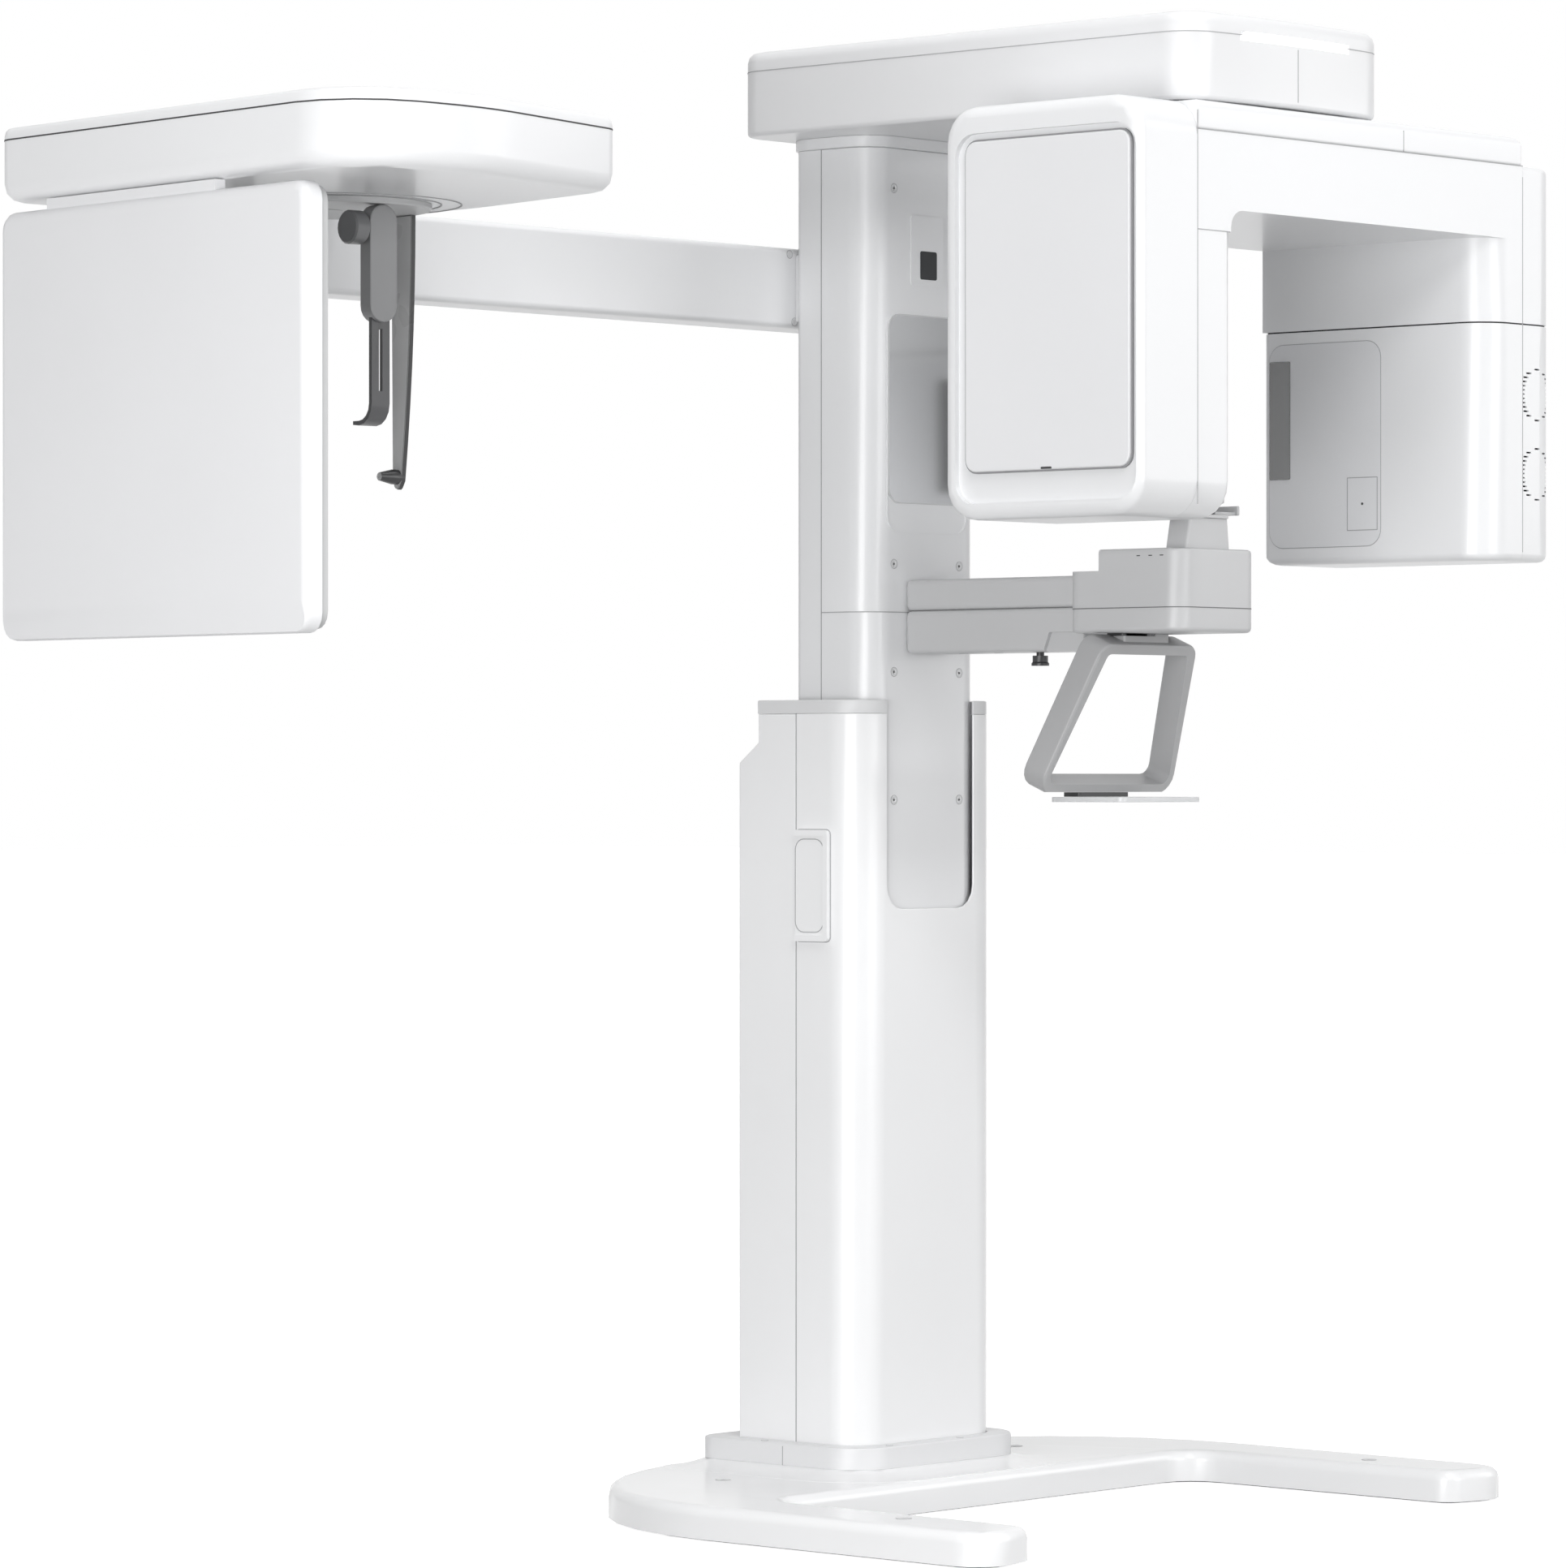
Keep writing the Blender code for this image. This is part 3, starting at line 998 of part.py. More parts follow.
def make_head_holder(put):
    """The turning disc with two ear rods that close on the head, and the nose rest."""
    top = BOX_BOTTOM - GAP
    low = top - CHUCK_THICKNESS
    disc = turned("chuck_disc", [(0, low), (CHUCK_RADIUS - 0.002, low), (CHUCK_RADIUS, low + 0.002),
                                 (CHUCK_RADIUS, top), (0, top)], "light_grey", CHUCK_X, CHUCK_Y, 40, put)
    centre = put @ Vector((CHUCK_X, CHUCK_Y, 0))
    pivot(disc, centre.x, centre.y, low)
    hang = low - GAP
    for name, side in (("ear_rod_left", -1), ("ear_rod_right", 1)):
        middle = CHUCK_X + side * ROD_SPREAD
        width = ROD_WIDTH / 2
        profile = ear_rod_outline(hang, width)
        rod = prism(name, profile, middle - ROD_THICKNESS / 2, middle + ROD_THICKNESS / 2, "mid_grey",
                    "X", bottom=0.001, top=0.001, steps=1)
        tip_z = ROD_BOTTOM + 0.015
        inward = (Matrix.Translation((middle, CHUCK_Y + 0.008, tip_z))
                  @ Matrix.Rotation(-side * math.pi / 2, 4, "Y"))
        tip = turned("tip", [(0, -0.002), (0.009, -0.002), (0.009, 0.012), (0.005, 0.030), (0, 0.034)],
                     "light_grey", sides=16, matrix=inward)
        combine(rod, tip, "UNION")
        rod.data.transform(put)

    nasion_y = CHUCK_Y - NASION_REACH
    half = NASION_HALF_WIDTH
    front = nasion_y - 0.009
    plan = rectangle(CHUCK_X - half, CHUCK_X + half, hang - NASION_HEIGHT, hang, half - 0.0006, 5)
    block = prism("nasion_block", plan, front, nasion_y + 0.010, "mid_grey", "Y", bottom=0.002, steps=2)
    cut_box(block, CHUCK_X - NASION_BAR_HALF - GAP, CHUCK_X + NASION_BAR_HALF + GAP, nasion_y - 0.0032,
            nasion_y + 0.0032, 1.0, hang - 0.006)
    block.data.transform(put)
    foot_z = hang - 0.258
    thick = 0.0028
    curve = 0.020
    bar = [(nasion_y - thick, hang - 0.012)]
    for i in range(5):
        angle = math.pi / 2 * i / 4
        bar.append((nasion_y - thick + (curve + 2 * thick) * (1 - math.cos(angle)),
                    foot_z + (curve + 2 * thick) * (1 - math.sin(angle))))
    bar.append((nasion_y + 0.034, foot_z + 0.001))
    bar.append((nasion_y + 0.034, foot_z + 2 * thick))
    for i in range(4, -1, -1):
        angle = math.pi / 2 * i / 4
        bar.append((nasion_y + thick + curve * (1 - math.cos(angle)),
                    foot_z + 2 * thick + curve * (1 - math.sin(angle))))
    bar.append((nasion_y + thick, hang - 0.012))
    nasion = prism("nasion_bar", bar, CHUCK_X - NASION_BAR_HALF, CHUCK_X + NASION_BAR_HALF, "mid_grey", "X")
    cut_box(nasion, CHUCK_X - 0.0022, CHUCK_X + 0.0022, nasion_y - 0.02, nasion_y + 0.02,
            foot_z + 0.040, foot_z + 0.112)
    nasion.data.transform(put)
    knob_z = hang - 0.028
    outward = put @ Matrix.Translation((CHUCK_X - half - GAP, nasion_y + 0.004, knob_z)) @ Matrix.Rotation(
        -math.pi / 2, 4, "Y")
    knob = turned("nasion_knob", [
        (0, 0), (0.005, 0), (0.005, 0.004), (NASION_KNOB_RADIUS - 0.001, 0.004),
        (NASION_KNOB_RADIUS, 0.006), (NASION_KNOB_RADIUS, NASION_KNOB_LENGTH - 0.002),
        (NASION_KNOB_RADIUS - 0.002, NASION_KNOB_LENGTH), (0, NASION_KNOB_LENGTH)],
        "mid_grey", sides=20, matrix=outward)
    spot = outward @ Vector((0, 0, NASION_KNOB_LENGTH / 2))
    pivot(knob, spot.x, spot.y, spot.z)


make_stand()
make_casing()
make_power_panel()
make_column()
make_housing()
make_carriage()
make_detector()
make_bridge()
make_generator()
make_support()
make_handle()
make_ceph_arm()
TURNED = Matrix.Translation((CEPH_X, CEPH_Y, 0)) @ Matrix.Rotation(-CEPH_TURN, 4, "Z")
make_ceph_box(TURNED)
make_ceph_panel(TURNED)
make_head_holder(TURNED)
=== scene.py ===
"""Looks of the panoramic X-ray machine: finishes, trim and lighting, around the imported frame."""
import math

import bmesh
import bpy
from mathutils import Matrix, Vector


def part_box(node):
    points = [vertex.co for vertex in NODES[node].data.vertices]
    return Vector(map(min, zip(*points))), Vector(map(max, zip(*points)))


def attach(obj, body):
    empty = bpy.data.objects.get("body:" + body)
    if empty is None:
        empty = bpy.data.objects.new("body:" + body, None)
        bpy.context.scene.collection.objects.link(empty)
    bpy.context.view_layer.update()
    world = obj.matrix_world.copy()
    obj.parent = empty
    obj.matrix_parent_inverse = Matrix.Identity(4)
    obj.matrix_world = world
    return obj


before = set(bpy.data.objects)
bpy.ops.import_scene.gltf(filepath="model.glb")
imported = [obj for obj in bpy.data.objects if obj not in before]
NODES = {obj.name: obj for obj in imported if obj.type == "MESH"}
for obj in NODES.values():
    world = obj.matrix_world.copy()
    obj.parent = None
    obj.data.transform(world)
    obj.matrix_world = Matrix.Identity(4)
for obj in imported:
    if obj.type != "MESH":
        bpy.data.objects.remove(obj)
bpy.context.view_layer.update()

# Lengths are in metres.
PROUD = 0.0004                   # how far a flat trim piece stands off the surface under it
ROOTED = 0.001                   # how far a trim piece reaches into the surface under it
SMOOTH_DEGREES = 34              # edges sharper than this stay sharp
BEVEL_DEGREES = 35               # edges sharper than this are broken
WELD_DISTANCE = 0.00002
NORMAL_WEIGHT = 80


# ---------------------------------------------------------------- materials
RELIEF_DEPTH = 0.0004
COAT_ROUGHNESS = 0.12
BRUSH_SCALE = 40.0
BRUSH_STRETCH = 60               # how much finer the brushing is along Z than across it
ACRYLIC_IOR = 1.49
ACRYLIC_CLEARNESS = 0.30
LIGHT_STRENGTH = 0.60
EDGE_ON, FACE_ON = 0.55, 0.95    # share of the sheet's normal at which smoked turns from rim to face
CEPH_TURN = math.radians(7.35)   # the cephalometric head is turned by this about Z


def new_material(name):
    """An empty node material with its Principled shader."""
    mat = bpy.data.materials.new(name)
    mat.use_nodes = True
    return mat, mat.node_tree.nodes["Principled BSDF"]


def add_node(mat, kind, x, operation=None):
    """A shader node, set to its operation where it has one."""
    node = mat.node_tree.nodes.new(kind)
    node.location = (x, 0)
    if operation:
        node.operation = operation
    return node


def link(mat, source, out, target, into):
    """Join one node's output to another's input."""
    mat.node_tree.links.new(source.outputs[out], target.inputs[into])


def moulded(name, colour, roughness, spread=0.02, grain=900.0, bump=0.02, coat=0.0, metallic=0.0,
            blotch=2.5):
    """Moulded or painted surface: faint cloudy colour, uneven gloss and a fine texture in relief."""
    mat, shader = new_material(name)
    place = add_node(mat, "ShaderNodeTexCoord", -1200)
    cloud = add_node(mat, "ShaderNodeTexNoise", -1000)
    cloud.inputs["Scale"].default_value = blotch
    cloud.inputs["Detail"].default_value = 3.0
    link(mat, place, "Object", cloud, "Vector")
    tint = add_node(mat, "ShaderNodeValToRGB", -800)
    tint.color_ramp.elements[0].position = 0.3
    tint.color_ramp.elements[1].position = 0.7
    tint.color_ramp.elements[0].color = (*[c * (1 - spread) for c in colour], 1)
    tint.color_ramp.elements[1].color = (*[min(1.0, c * (1 + spread * 0.5)) for c in colour], 1)
    link(mat, cloud, "Fac", tint, "Fac")
    link(mat, tint, "Color", shader, "Base Color")
    fine = add_node(mat, "ShaderNodeTexNoise", -1000)
    fine.inputs["Scale"].default_value = grain
    fine.inputs["Detail"].default_value = 2.0
    link(mat, place, "Object", fine, "Vector")
    gloss = add_node(mat, "ShaderNodeMapRange", -600)
    gloss.inputs["To Min"].default_value = roughness * 0.88
    gloss.inputs["To Max"].default_value = min(1.0, roughness * 1.12)
    link(mat, cloud, "Fac", gloss, "Value")
    link(mat, gloss, "Result", shader, "Roughness")
    relief = add_node(mat, "ShaderNodeBump", -400)
    relief.inputs["Strength"].default_value = bump
    relief.inputs["Distance"].default_value = RELIEF_DEPTH
    link(mat, fine, "Fac", relief, "Height")
    link(mat, relief, "Normal", shader, "Normal")
    shader.inputs["Metallic"].default_value = metallic
    shader.inputs["Coat Weight"].default_value = coat
    shader.inputs["Coat Roughness"].default_value = COAT_ROUGHNESS
    return mat


def brushed(name, colour, roughness):
    """Metal with fine parallel brushing along one axis."""
    mat, shader = new_material(name)
    place = add_node(mat, "ShaderNodeTexCoord", -1200)
    lay = add_node(mat, "ShaderNodeMapping", -1000)
    lay.inputs["Scale"].default_value = (1, 1, BRUSH_STRETCH)
    link(mat, place, "Object", lay, "Vector")
    streak = add_node(mat, "ShaderNodeTexNoise", -800)
    streak.inputs["Scale"].default_value = BRUSH_SCALE
    streak.inputs["Detail"].default_value = 4.0
    link(mat, lay, "Vector", streak, "Vector")
    gloss = add_node(mat, "ShaderNodeMapRange", -600)
    gloss.inputs["To Min"].default_value = roughness * 0.75
    gloss.inputs["To Max"].default_value = roughness * 1.3
    link(mat, streak, "Fac", gloss, "Value")
    link(mat, gloss, "Result", shader, "Roughness")
    tint = add_node(mat, "ShaderNodeValToRGB", -600)
    tint.color_ramp.elements[0].color = (*[c * 0.9 for c in colour], 1)
    tint.color_ramp.elements[1].color = (*colour, 1)
    link(mat, streak, "Fac", tint, "Fac")
    link(mat, tint, "Color", shader, "Base Color")
    shader.inputs["Metallic"].default_value = 1.0
    return mat


def mirror_glass(name):
    """Silvered glass with the faintest unevenness in its gloss."""
    return moulded(name, (0.95, 0.955, 0.96), 0.11, spread=0.01, bump=0.0, metallic=1.0)


def acrylic(name):
    """Frosted cast sheet."""
    mat = moulded(name, (0.90, 0.91, 0.92), 0.30, spread=0.01, bump=0.0)
    shader = mat.node_tree.nodes["Principled BSDF"]
    shader.inputs["Transmission Weight"].default_value = ACRYLIC_CLEARNESS
    shader.inputs["IOR"].default_value = ACRYLIC_IOR
    return mat


def light_strip(name):
    """Milky diffuser of the front light."""
    mat = moulded(name, (0.96, 0.97, 0.98), 0.35, spread=0.005, bump=0.0)
    shader = mat.node_tree.nodes["Principled BSDF"]
    shader.inputs["Emission Color"].default_value = (1, 1, 1, 1)
    shader.inputs["Emission Strength"].default_value = LIGHT_STRENGTH
    return mat


def smoked(name, face, rim):
    """Smoked sheet: milky grey through its broad faces, dark where its cut edges are seen."""
    mat = moulded(name, face, 0.28, spread=0.06, bump=0.02, blotch=9.0)
    shader = mat.node_tree.nodes["Principled BSDF"]
    tint = shader.inputs["Base Color"].links[0].from_node
    place = add_node(mat, "ShaderNodeTexCoord", -1200)
    facing = add_node(mat, "ShaderNodeVectorMath", -800, operation="DOT_PRODUCT")
    facing.inputs[1].default_value = (math.cos(CEPH_TURN), -math.sin(CEPH_TURN), 0.0)
    link(mat, place, "Normal", facing, 0)
    size = add_node(mat, "ShaderNodeMath", -600, operation="ABSOLUTE")
    link(mat, facing, "Value", size, 0)
    ramp = add_node(mat, "ShaderNodeMapRange", -400)
    ramp.inputs["From Min"].default_value = EDGE_ON
    ramp.inputs["From Max"].default_value = FACE_ON
    link(mat, size, 0, ramp, "Value")
    mix = add_node(mat, "ShaderNodeMixRGB", -200)
    mix.inputs[1].default_value = (*rim, 1)
    link(mat, ramp, "Result", mix, 0)
    link(mat, tint, "Color", mix, 2)
    link(mat, mix, "Color", shader, "Base Color")
    return mat


ROD_CLEAR = smoked("smoked_sheet", (0.62, 0.623, 0.625), (0.025, 0.025, 0.027))
WHITE = moulded("white_plastic", (0.83, 0.835, 0.845), 0.30, coat=0.15)
CASING_WHITE = moulded("casing_white", (0.89, 0.893, 0.90), 0.30, coat=0.15)
# A greyer copy of the white plastic for the top housing: the shade that falls on the housing is
# painted into its colour.
HOUSING_SHADED_WHITE = moulded("housing_white_painted_shade", (0.78, 0.783, 0.792), 0.32, coat=0.1)
COLLAR_WHITE = moulded("collar_white", (0.74, 0.743, 0.752), 0.34, coat=0.1)
RIM_LIGHT = moulded("rim_light_grey", (0.72, 0.723, 0.73), 0.45)
BASE_WHITE = moulded("base_white", (0.92, 0.923, 0.93), 0.26, coat=0.3)
PANEL_WHITE = moulded("panel_white", (0.80, 0.803, 0.815), 0.42, bump=0.05)
RIM_GREY = moulded("rim_grey", (0.56, 0.565, 0.57), 0.45)
ARM_GREY = moulded("arm_grey", (0.56, 0.563, 0.57), 0.40, bump=0.04)
GRIP_GREY = moulded("grip_grey", (0.42, 0.422, 0.428), 0.42, bump=0.08, grain=1400)
HOLDER_GREY = moulded("holder_grey", (0.30, 0.302, 0.308), 0.40, bump=0.05)
HOLDER_DARK = moulded("holder_dark", (0.18, 0.182, 0.187), 0.42, bump=0.05)
BAR_DARK = moulded("holder_bar_dark", (0.085, 0.086, 0.09), 0.40, bump=0.05)
DARK = moulded("dark_plastic", (0.035, 0.036, 0.038), 0.38, bump=0.05)
WINDOW = moulded("window_dark", (0.040, 0.041, 0.043), 0.16, bump=0.0, coat=0.4)
SEAM = moulded("seam_shadow", (0.42, 0.42, 0.43), 0.7, bump=0.0)
# Near-black for dark joint lines, the notch, marks and a screw, and for the painted shade that fills
# the joint of the generator's covers.
SEAM_DARK_AND_SHADE = moulded("seam_dark_and_painted_shade", (0.05, 0.05, 0.052), 0.8, bump=0.0)
MARK = moulded("moulded_mark", (0.62, 0.625, 0.63), 0.5, bump=0.0)
ARM_SEAM = moulded("arm_seam", (0.16, 0.16, 0.165), 0.7, bump=0.0)
GROOVE = moulded("groove_shadow", (0.30, 0.30, 0.31), 0.8, bump=0.0)
CAP_WHITE = moulded("cap_white", (0.70, 0.703, 0.71), 0.38, bump=0.0)
PANEL_SHADE = moulded("inner_panel_white", (0.78, 0.785, 0.80), 0.45, bump=0.05)
STEEL = brushed("steel", (0.60, 0.61, 0.62), 0.30)
ALUMINIUM = brushed("aluminium", (0.74, 0.75, 0.76), 0.36)
# Near-black, so the plate's edge shows as a thin dark line under the stand.
PLATE_NEAR_BLACK = moulded("plate_near_black", (0.06, 0.06, 0.063), 0.55, bump=0.10)
MIRROR = mirror_glass("mirror_glass")
CLEAR = acrylic("clear_acrylic")
LIGHT = light_strip("light_strip")

FINISH = {
    CASING_WHITE: ["casing_front", "casing_rear", "side_grip"],
    HOUSING_SHADED_WHITE: ["top_shell", "top_cover"],
    COLLAR_WHITE: ["base_collar"],
    RIM_LIGHT: ["casing_rim"],
    WHITE: ["column_rear_cover", "column_upper_cover", "column_lower_cover", "label_plate",
            "neck_plate", "ceph_arm", "ceph_bracket", "ceph_shell", "ceph_cover", "bridge_shell",
            "bridge_cover", "detector_cover", "detector_inner", "generator_shell",
            "generator_end_lower", "generator_end_upper"],
    BASE_WHITE: ["base_cover"],
    PANEL_WHITE: ["panel_shell", "detector_panel"],
    RIM_GREY: ["panel_face", "chuck_disc"],
    ARM_GREY: ["chin_arm_lower", "chin_arm_upper", "chin_head_lower", "chin_head_upper", "chin_post",
               "chin_cup", "temple_left", "temple_right"],
    GRIP_GREY: ["handle_loop"],
    HOLDER_GREY: ["nasion_block"],
    HOLDER_DARK: ["nasion_knob"],
    BAR_DARK: ["nasion_bar"],
    ROD_CLEAR: ["ear_rod_left", "ear_rod_right"],
    DARK: ["power_panel", "power_rocker", "estop_knob", "tray_clamp", "drive_motor", "fan_upper",
           "fan_lower"],
    WINDOW: ["collimator_window"],
    STEEL: ["motor_pinion", "rotor_spindle"],
    ALUMINIUM: ["fixed_mast", "column_frame", "carriage_plate"],
    PLATE_NEAR_BLACK: ["base_plate"],
    MIRROR: ["column_mirror"],
    CLEAR: ["tray_plate"],
    LIGHT: ["light_bar"],
}

# The width of the broken edge on each node that has one.
EDGE = {
    "casing_front": 0.0012, "casing_rear": 0.0080, "bridge_shell": 0.0100, "bridge_cover": 0.004,
    "chin_arm_lower": 0.003, "chin_arm_upper": 0.003, "column_lower_cover": 0.0008,
    "column_upper_cover": 0.0008, "ceph_arm": 0.002, "handle_loop": 0.0015, "chin_post": 0.002,
    "nasion_bar": 0.0008, "temple_left": 0.001, "temple_right": 0.001, "side_grip": 0.0015,
    "power_panel": 0.0008, "power_rocker": 0.0008, "generator_end_lower": 0.0006,
    "generator_shell": 0.0006, "generator_end_upper": 0.0006, "detector_inner": 0.0006,
    "detector_cover": 0.0015, "base_collar": 0.001, "tray_plate": 0.0008, "tray_clamp": 0.0008,
    "casing_rim": 0.0006, "top_shell": 0.0006, "top_cover": 0.0006,
}


def dress_frame():
    """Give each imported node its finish, smooth shading and softly broken edges."""
    for material, names in FINISH.items():
        for name in names:
            obj = NODES[name]
            obj.data.materials.clear()
            obj.data.materials.append(material)
    for name, obj in NODES.items():
        if "custom_normal" in obj.data.attributes:
            obj.data.attributes.remove(obj.data.attributes["custom_normal"])
        weld = obj.modifiers.new("weld", "WELD")
        weld.merge_threshold = WELD_DISTANCE
        if name in EDGE:
            bevel = obj.modifiers.new("edge", "BEVEL")
            bevel.width = EDGE[name]
            bevel.segments = 3
            bevel.limit_method = "ANGLE"
            bevel.angle_limit = math.radians(BEVEL_DEGREES)
            bevel.use_clamp_overlap = True
        smooth_by_angle(obj, SMOOTH_DEGREES)
        weighted = obj.modifiers.new("normals", "WEIGHTED_NORMAL")
        weighted.keep_sharp = True
        weighted.weight = NORMAL_WEIGHT


def smooth_by_angle(obj, degrees):
    """Smooth shading that keeps edges sharper than the angle, after the other modifiers."""
    obj.data.shade_smooth()
    tree = bpy.data.node_groups.get(f"smooth_{degrees}")
    if tree is None:
        tree = bpy.data.node_groups.new(f"smooth_{degrees}", "GeometryNodeTree")
        tree.interface.new_socket("Geometry", in_out="INPUT", socket_type="NodeSocketGeometry")
        tree.interface.new_socket("Geometry", in_out="OUTPUT", socket_type="NodeSocketGeometry")
        enter = tree.nodes.new("NodeGroupInput")
        leave = tree.nodes.new("NodeGroupOutput")
        angle = tree.nodes.new("GeometryNodeInputMeshEdgeAngle")
        compare = tree.nodes.new("FunctionNodeCompare")
        compare.data_type = "FLOAT"
        compare.operation = "LESS_EQUAL"
        compare.inputs[1].default_value = math.radians(degrees)
        edges = tree.nodes.new("GeometryNodeSetShadeSmooth")
        edges.domain = "EDGE"
        faces = tree.nodes.new("GeometryNodeSetShadeSmooth")
        faces.domain = "FACE"
        tree.links.new(enter.outputs[0], faces.inputs["Geometry"])
        tree.links.new(faces.outputs[0], edges.inputs["Geometry"])
        tree.links.new(angle.outputs["Unsigned Angle"], compare.inputs[0])
        tree.links.new(compare.outputs[0], edges.inputs["Shade Smooth"])
        tree.links.new(edges.outputs[0], leave.inputs[0])
    modifier = obj.modifiers.new("smooth", "NODES")
    modifier.node_group = tree


# ---------------------------------------------------------------- camera and light
EYE = Vector((-6.5282, -5.7316, 0.945))
AZIMUTH = math.radians(47.8)     # how far the camera is turned from +Y towards +X
SENSOR = 36.0                    # mm
LENS = 151.62112                 # mm
RISE = -0.00362319               # the picture's vertical shift, as a share of its width


def make_camera():
    """A level camera at the photograph's place."""
    data = bpy.data.cameras.new("camera")
    camera = bpy.data.objects.new("camera", data)
    bpy.context.scene.collection.objects.link(camera)
    camera.location = EYE
    camera.rotation_euler = (math.radians(90), 0, -AZIMUTH)
    data.sensor_width = SENSOR
    data.lens = LENS
    data.shift_y = RISE
    bpy.context.scene.camera = camera


def area_light(name, place, target, width, height, power):
    """A rectangular lamp that faces a target."""
    data = bpy.data.lights.new(name, "AREA")
    data.shape = "RECTANGLE"
    data.size = width
    data.size_y = height
    data.energy = power
    lamp = bpy.data.objects.new(name, data)
    bpy.context.scene.collection.objects.link(lamp)
    lamp.location = place
    lamp.rotation_euler = (Vector(target) - Vector(place)).to_track_quat("-Z", "Y").to_euler()


FLOOR_WHITE = 0.91               # white shown by the floor besides the light that falls on it
FLOOR_DROP = 0.0005              # the floor lies this far under the stand
FLOOR_SIZE = 60.0
WORLD_STRENGTH = 0.23


def seen_white(mat, own, tree_out, share):
    """Show plain white to camera, glossy and transmitted rays, besides or instead of the shader."""
    path = add_node(mat, "ShaderNodeLightPath", -400)
    first = add_node(mat, "ShaderNodeMath", -200, operation="MAXIMUM")
    second = add_node(mat, "ShaderNodeMath", 0, operation="MAXIMUM")
    link(mat, path, "Is Camera Ray", first, 0)
    link(mat, path, "Is Glossy Ray", first, 1)
    link(mat, first, 0, second, 0)
    link(mat, path, "Is Transmission Ray", second, 1)
    part = add_node(mat, "ShaderNodeMath", 100, operation="MULTIPLY")
    part.inputs[1].default_value = share
    link(mat, second, 0, part, 0)
    white = add_node(mat, "ShaderNodeBackground" if own.bl_idname == "ShaderNodeBackground"
                     else "ShaderNodeEmission", 0)
    white.inputs[0].default_value = (1, 1, 1, 1)
    if share < 1:
        both = add_node(mat, "ShaderNodeAddShader", 200)
        link(mat, part, 0, white, 1)
        link(mat, own, 0, both, 0)
    else:
        both = add_node(mat, "ShaderNodeMixShader", 200)
        white.inputs[1].default_value = 1.0
        link(mat, part, 0, both, "Fac")
        link(mat, own, 0, both, 1)
    link(mat, white, 0, both, 1 if share < 1 else 2)
    link(mat, both, 0, tree_out, "Surface")


def make_stage():
    """The world's light, the floor and five soft lamps."""
    world = bpy.data.worlds.new("world")
    bpy.context.scene.world = world
    world.use_nodes = True
    background = world.node_tree.nodes["Background"]
    background.inputs["Color"].default_value = (0.985, 0.99, 1.0, 1)
    background.inputs["Strength"].default_value = WORLD_STRENGTH
    seen_white(world, background, world.node_tree.nodes["World Output"], 1.0)

    bm = bmesh.new()
    bmesh.ops.create_grid(bm, x_segments=2, y_segments=2, size=FLOOR_SIZE)
    mesh = bpy.data.meshes.new("floor")
    bm.to_mesh(mesh)
    bm.free()
    floor = bpy.data.objects.new("floor", mesh)
    bpy.context.scene.collection.objects.link(floor)
    floor.location.z = -FLOOR_DROP
    paint = moulded("floor_paint", (0.42, 0.42, 0.42), 0.9, spread=0.01, bump=0.0)
    seen_white(paint, paint.node_tree.nodes["Principled BSDF"],
               paint.node_tree.nodes["Material Output"], FLOOR_WHITE)
    floor.data.materials.append(paint)

    area_light("key", (-2.6, -4.6, 4.9), (0, -0.2, 1.2), 1.8, 1.8, 84)
    area_light("overhead", (-0.6, -0.9, 5.0), (-0.3, -0.2, 1.0), 3.0, 3.0, 82)
    area_light("front", (0.3, -5.5, 1.6), (0.0, 0, 1.0), 2.4, 2.4, 66)
    area_light("left", (-4.9, -2.0, 0.8), (0.0, 0, 1.0), 2.8, 2.4, 160)
    area_light("right", (4.2, -3.4, 2.4), (0.2, -0.3, 1.1), 2.4, 2.4, 40)
    bpy.context.scene.view_settings.view_transform = "Standard"


# ---------------------------------------------------------------- trim tools
def put(name, bm, material, body):
    """Make an object from a bmesh, give it a finish and let it ride on a body."""
    bmesh.ops.recalc_face_normals(bm, faces=bm.faces)
    mesh = bpy.data.meshes.new(name)
    bm.to_mesh(mesh)
    bm.free()
    obj = bpy.data.objects.new(name, mesh)
    bpy.context.scene.collection.objects.link(obj)
    mesh.materials.append(material)
    mesh.shade_smooth()
    mesh.set_sharp_from_angle(angle=math.radians(SMOOTH_DEGREES))
    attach(obj, body)


def rounded(u0, u1, v0, v1, radius, steps=5):
    """A counter-clockwise rectangle with round corners."""
    if radius <= 0:
        return [(u0, v0), (u1, v0), (u1, v1), (u0, v1)]
    points = []
    for u, v, start in ((u0 + radius, v0 + radius, 180), (u1 - radius, v0 + radius, 270),
                        (u1 - radius, v1 - radius, 0), (u0 + radius, v1 - radius, 90)):
        for i in range(steps + 1):
            angle = math.radians(start + 90 * i / steps)
            points.append((u + radius * math.cos(angle), v + radius * math.sin(angle)))
    return points


def circle(u, v, radius, sides=24):
    """A counter-clockwise polygon on a circle."""
    turn = 2 * math.pi / sides
    return [(u + radius * math.cos(turn * i), v + radius * math.sin(turn * i)) for i in range(sides)]


def grown(outline, distance):
    """The counter-clockwise outline moved outward by a distance."""
    count = len(outline)
    moved = []
    for i, here in enumerate(outline):
        before = Vector(here) - Vector(outline[i - 1])
        after = Vector(outline[(i + 1) % count]) - Vector(here)
        n0 = Vector((before.y, -before.x)).normalized()
        n1 = Vector((after.y, -after.x)).normalized()
        bisector = (n0 + n1).normalized()
        moved.append(tuple(Vector(here) + bisector * distance / max(0.4, bisector.dot(n0))))
    return moved


def spot(u, v, w, axis):
    """The point at (u, v) in an outline's plane and w along its axis."""
    return {"X": (w, u, v), "Y": (u, w, v), "Z": (u, v, w)}[axis]


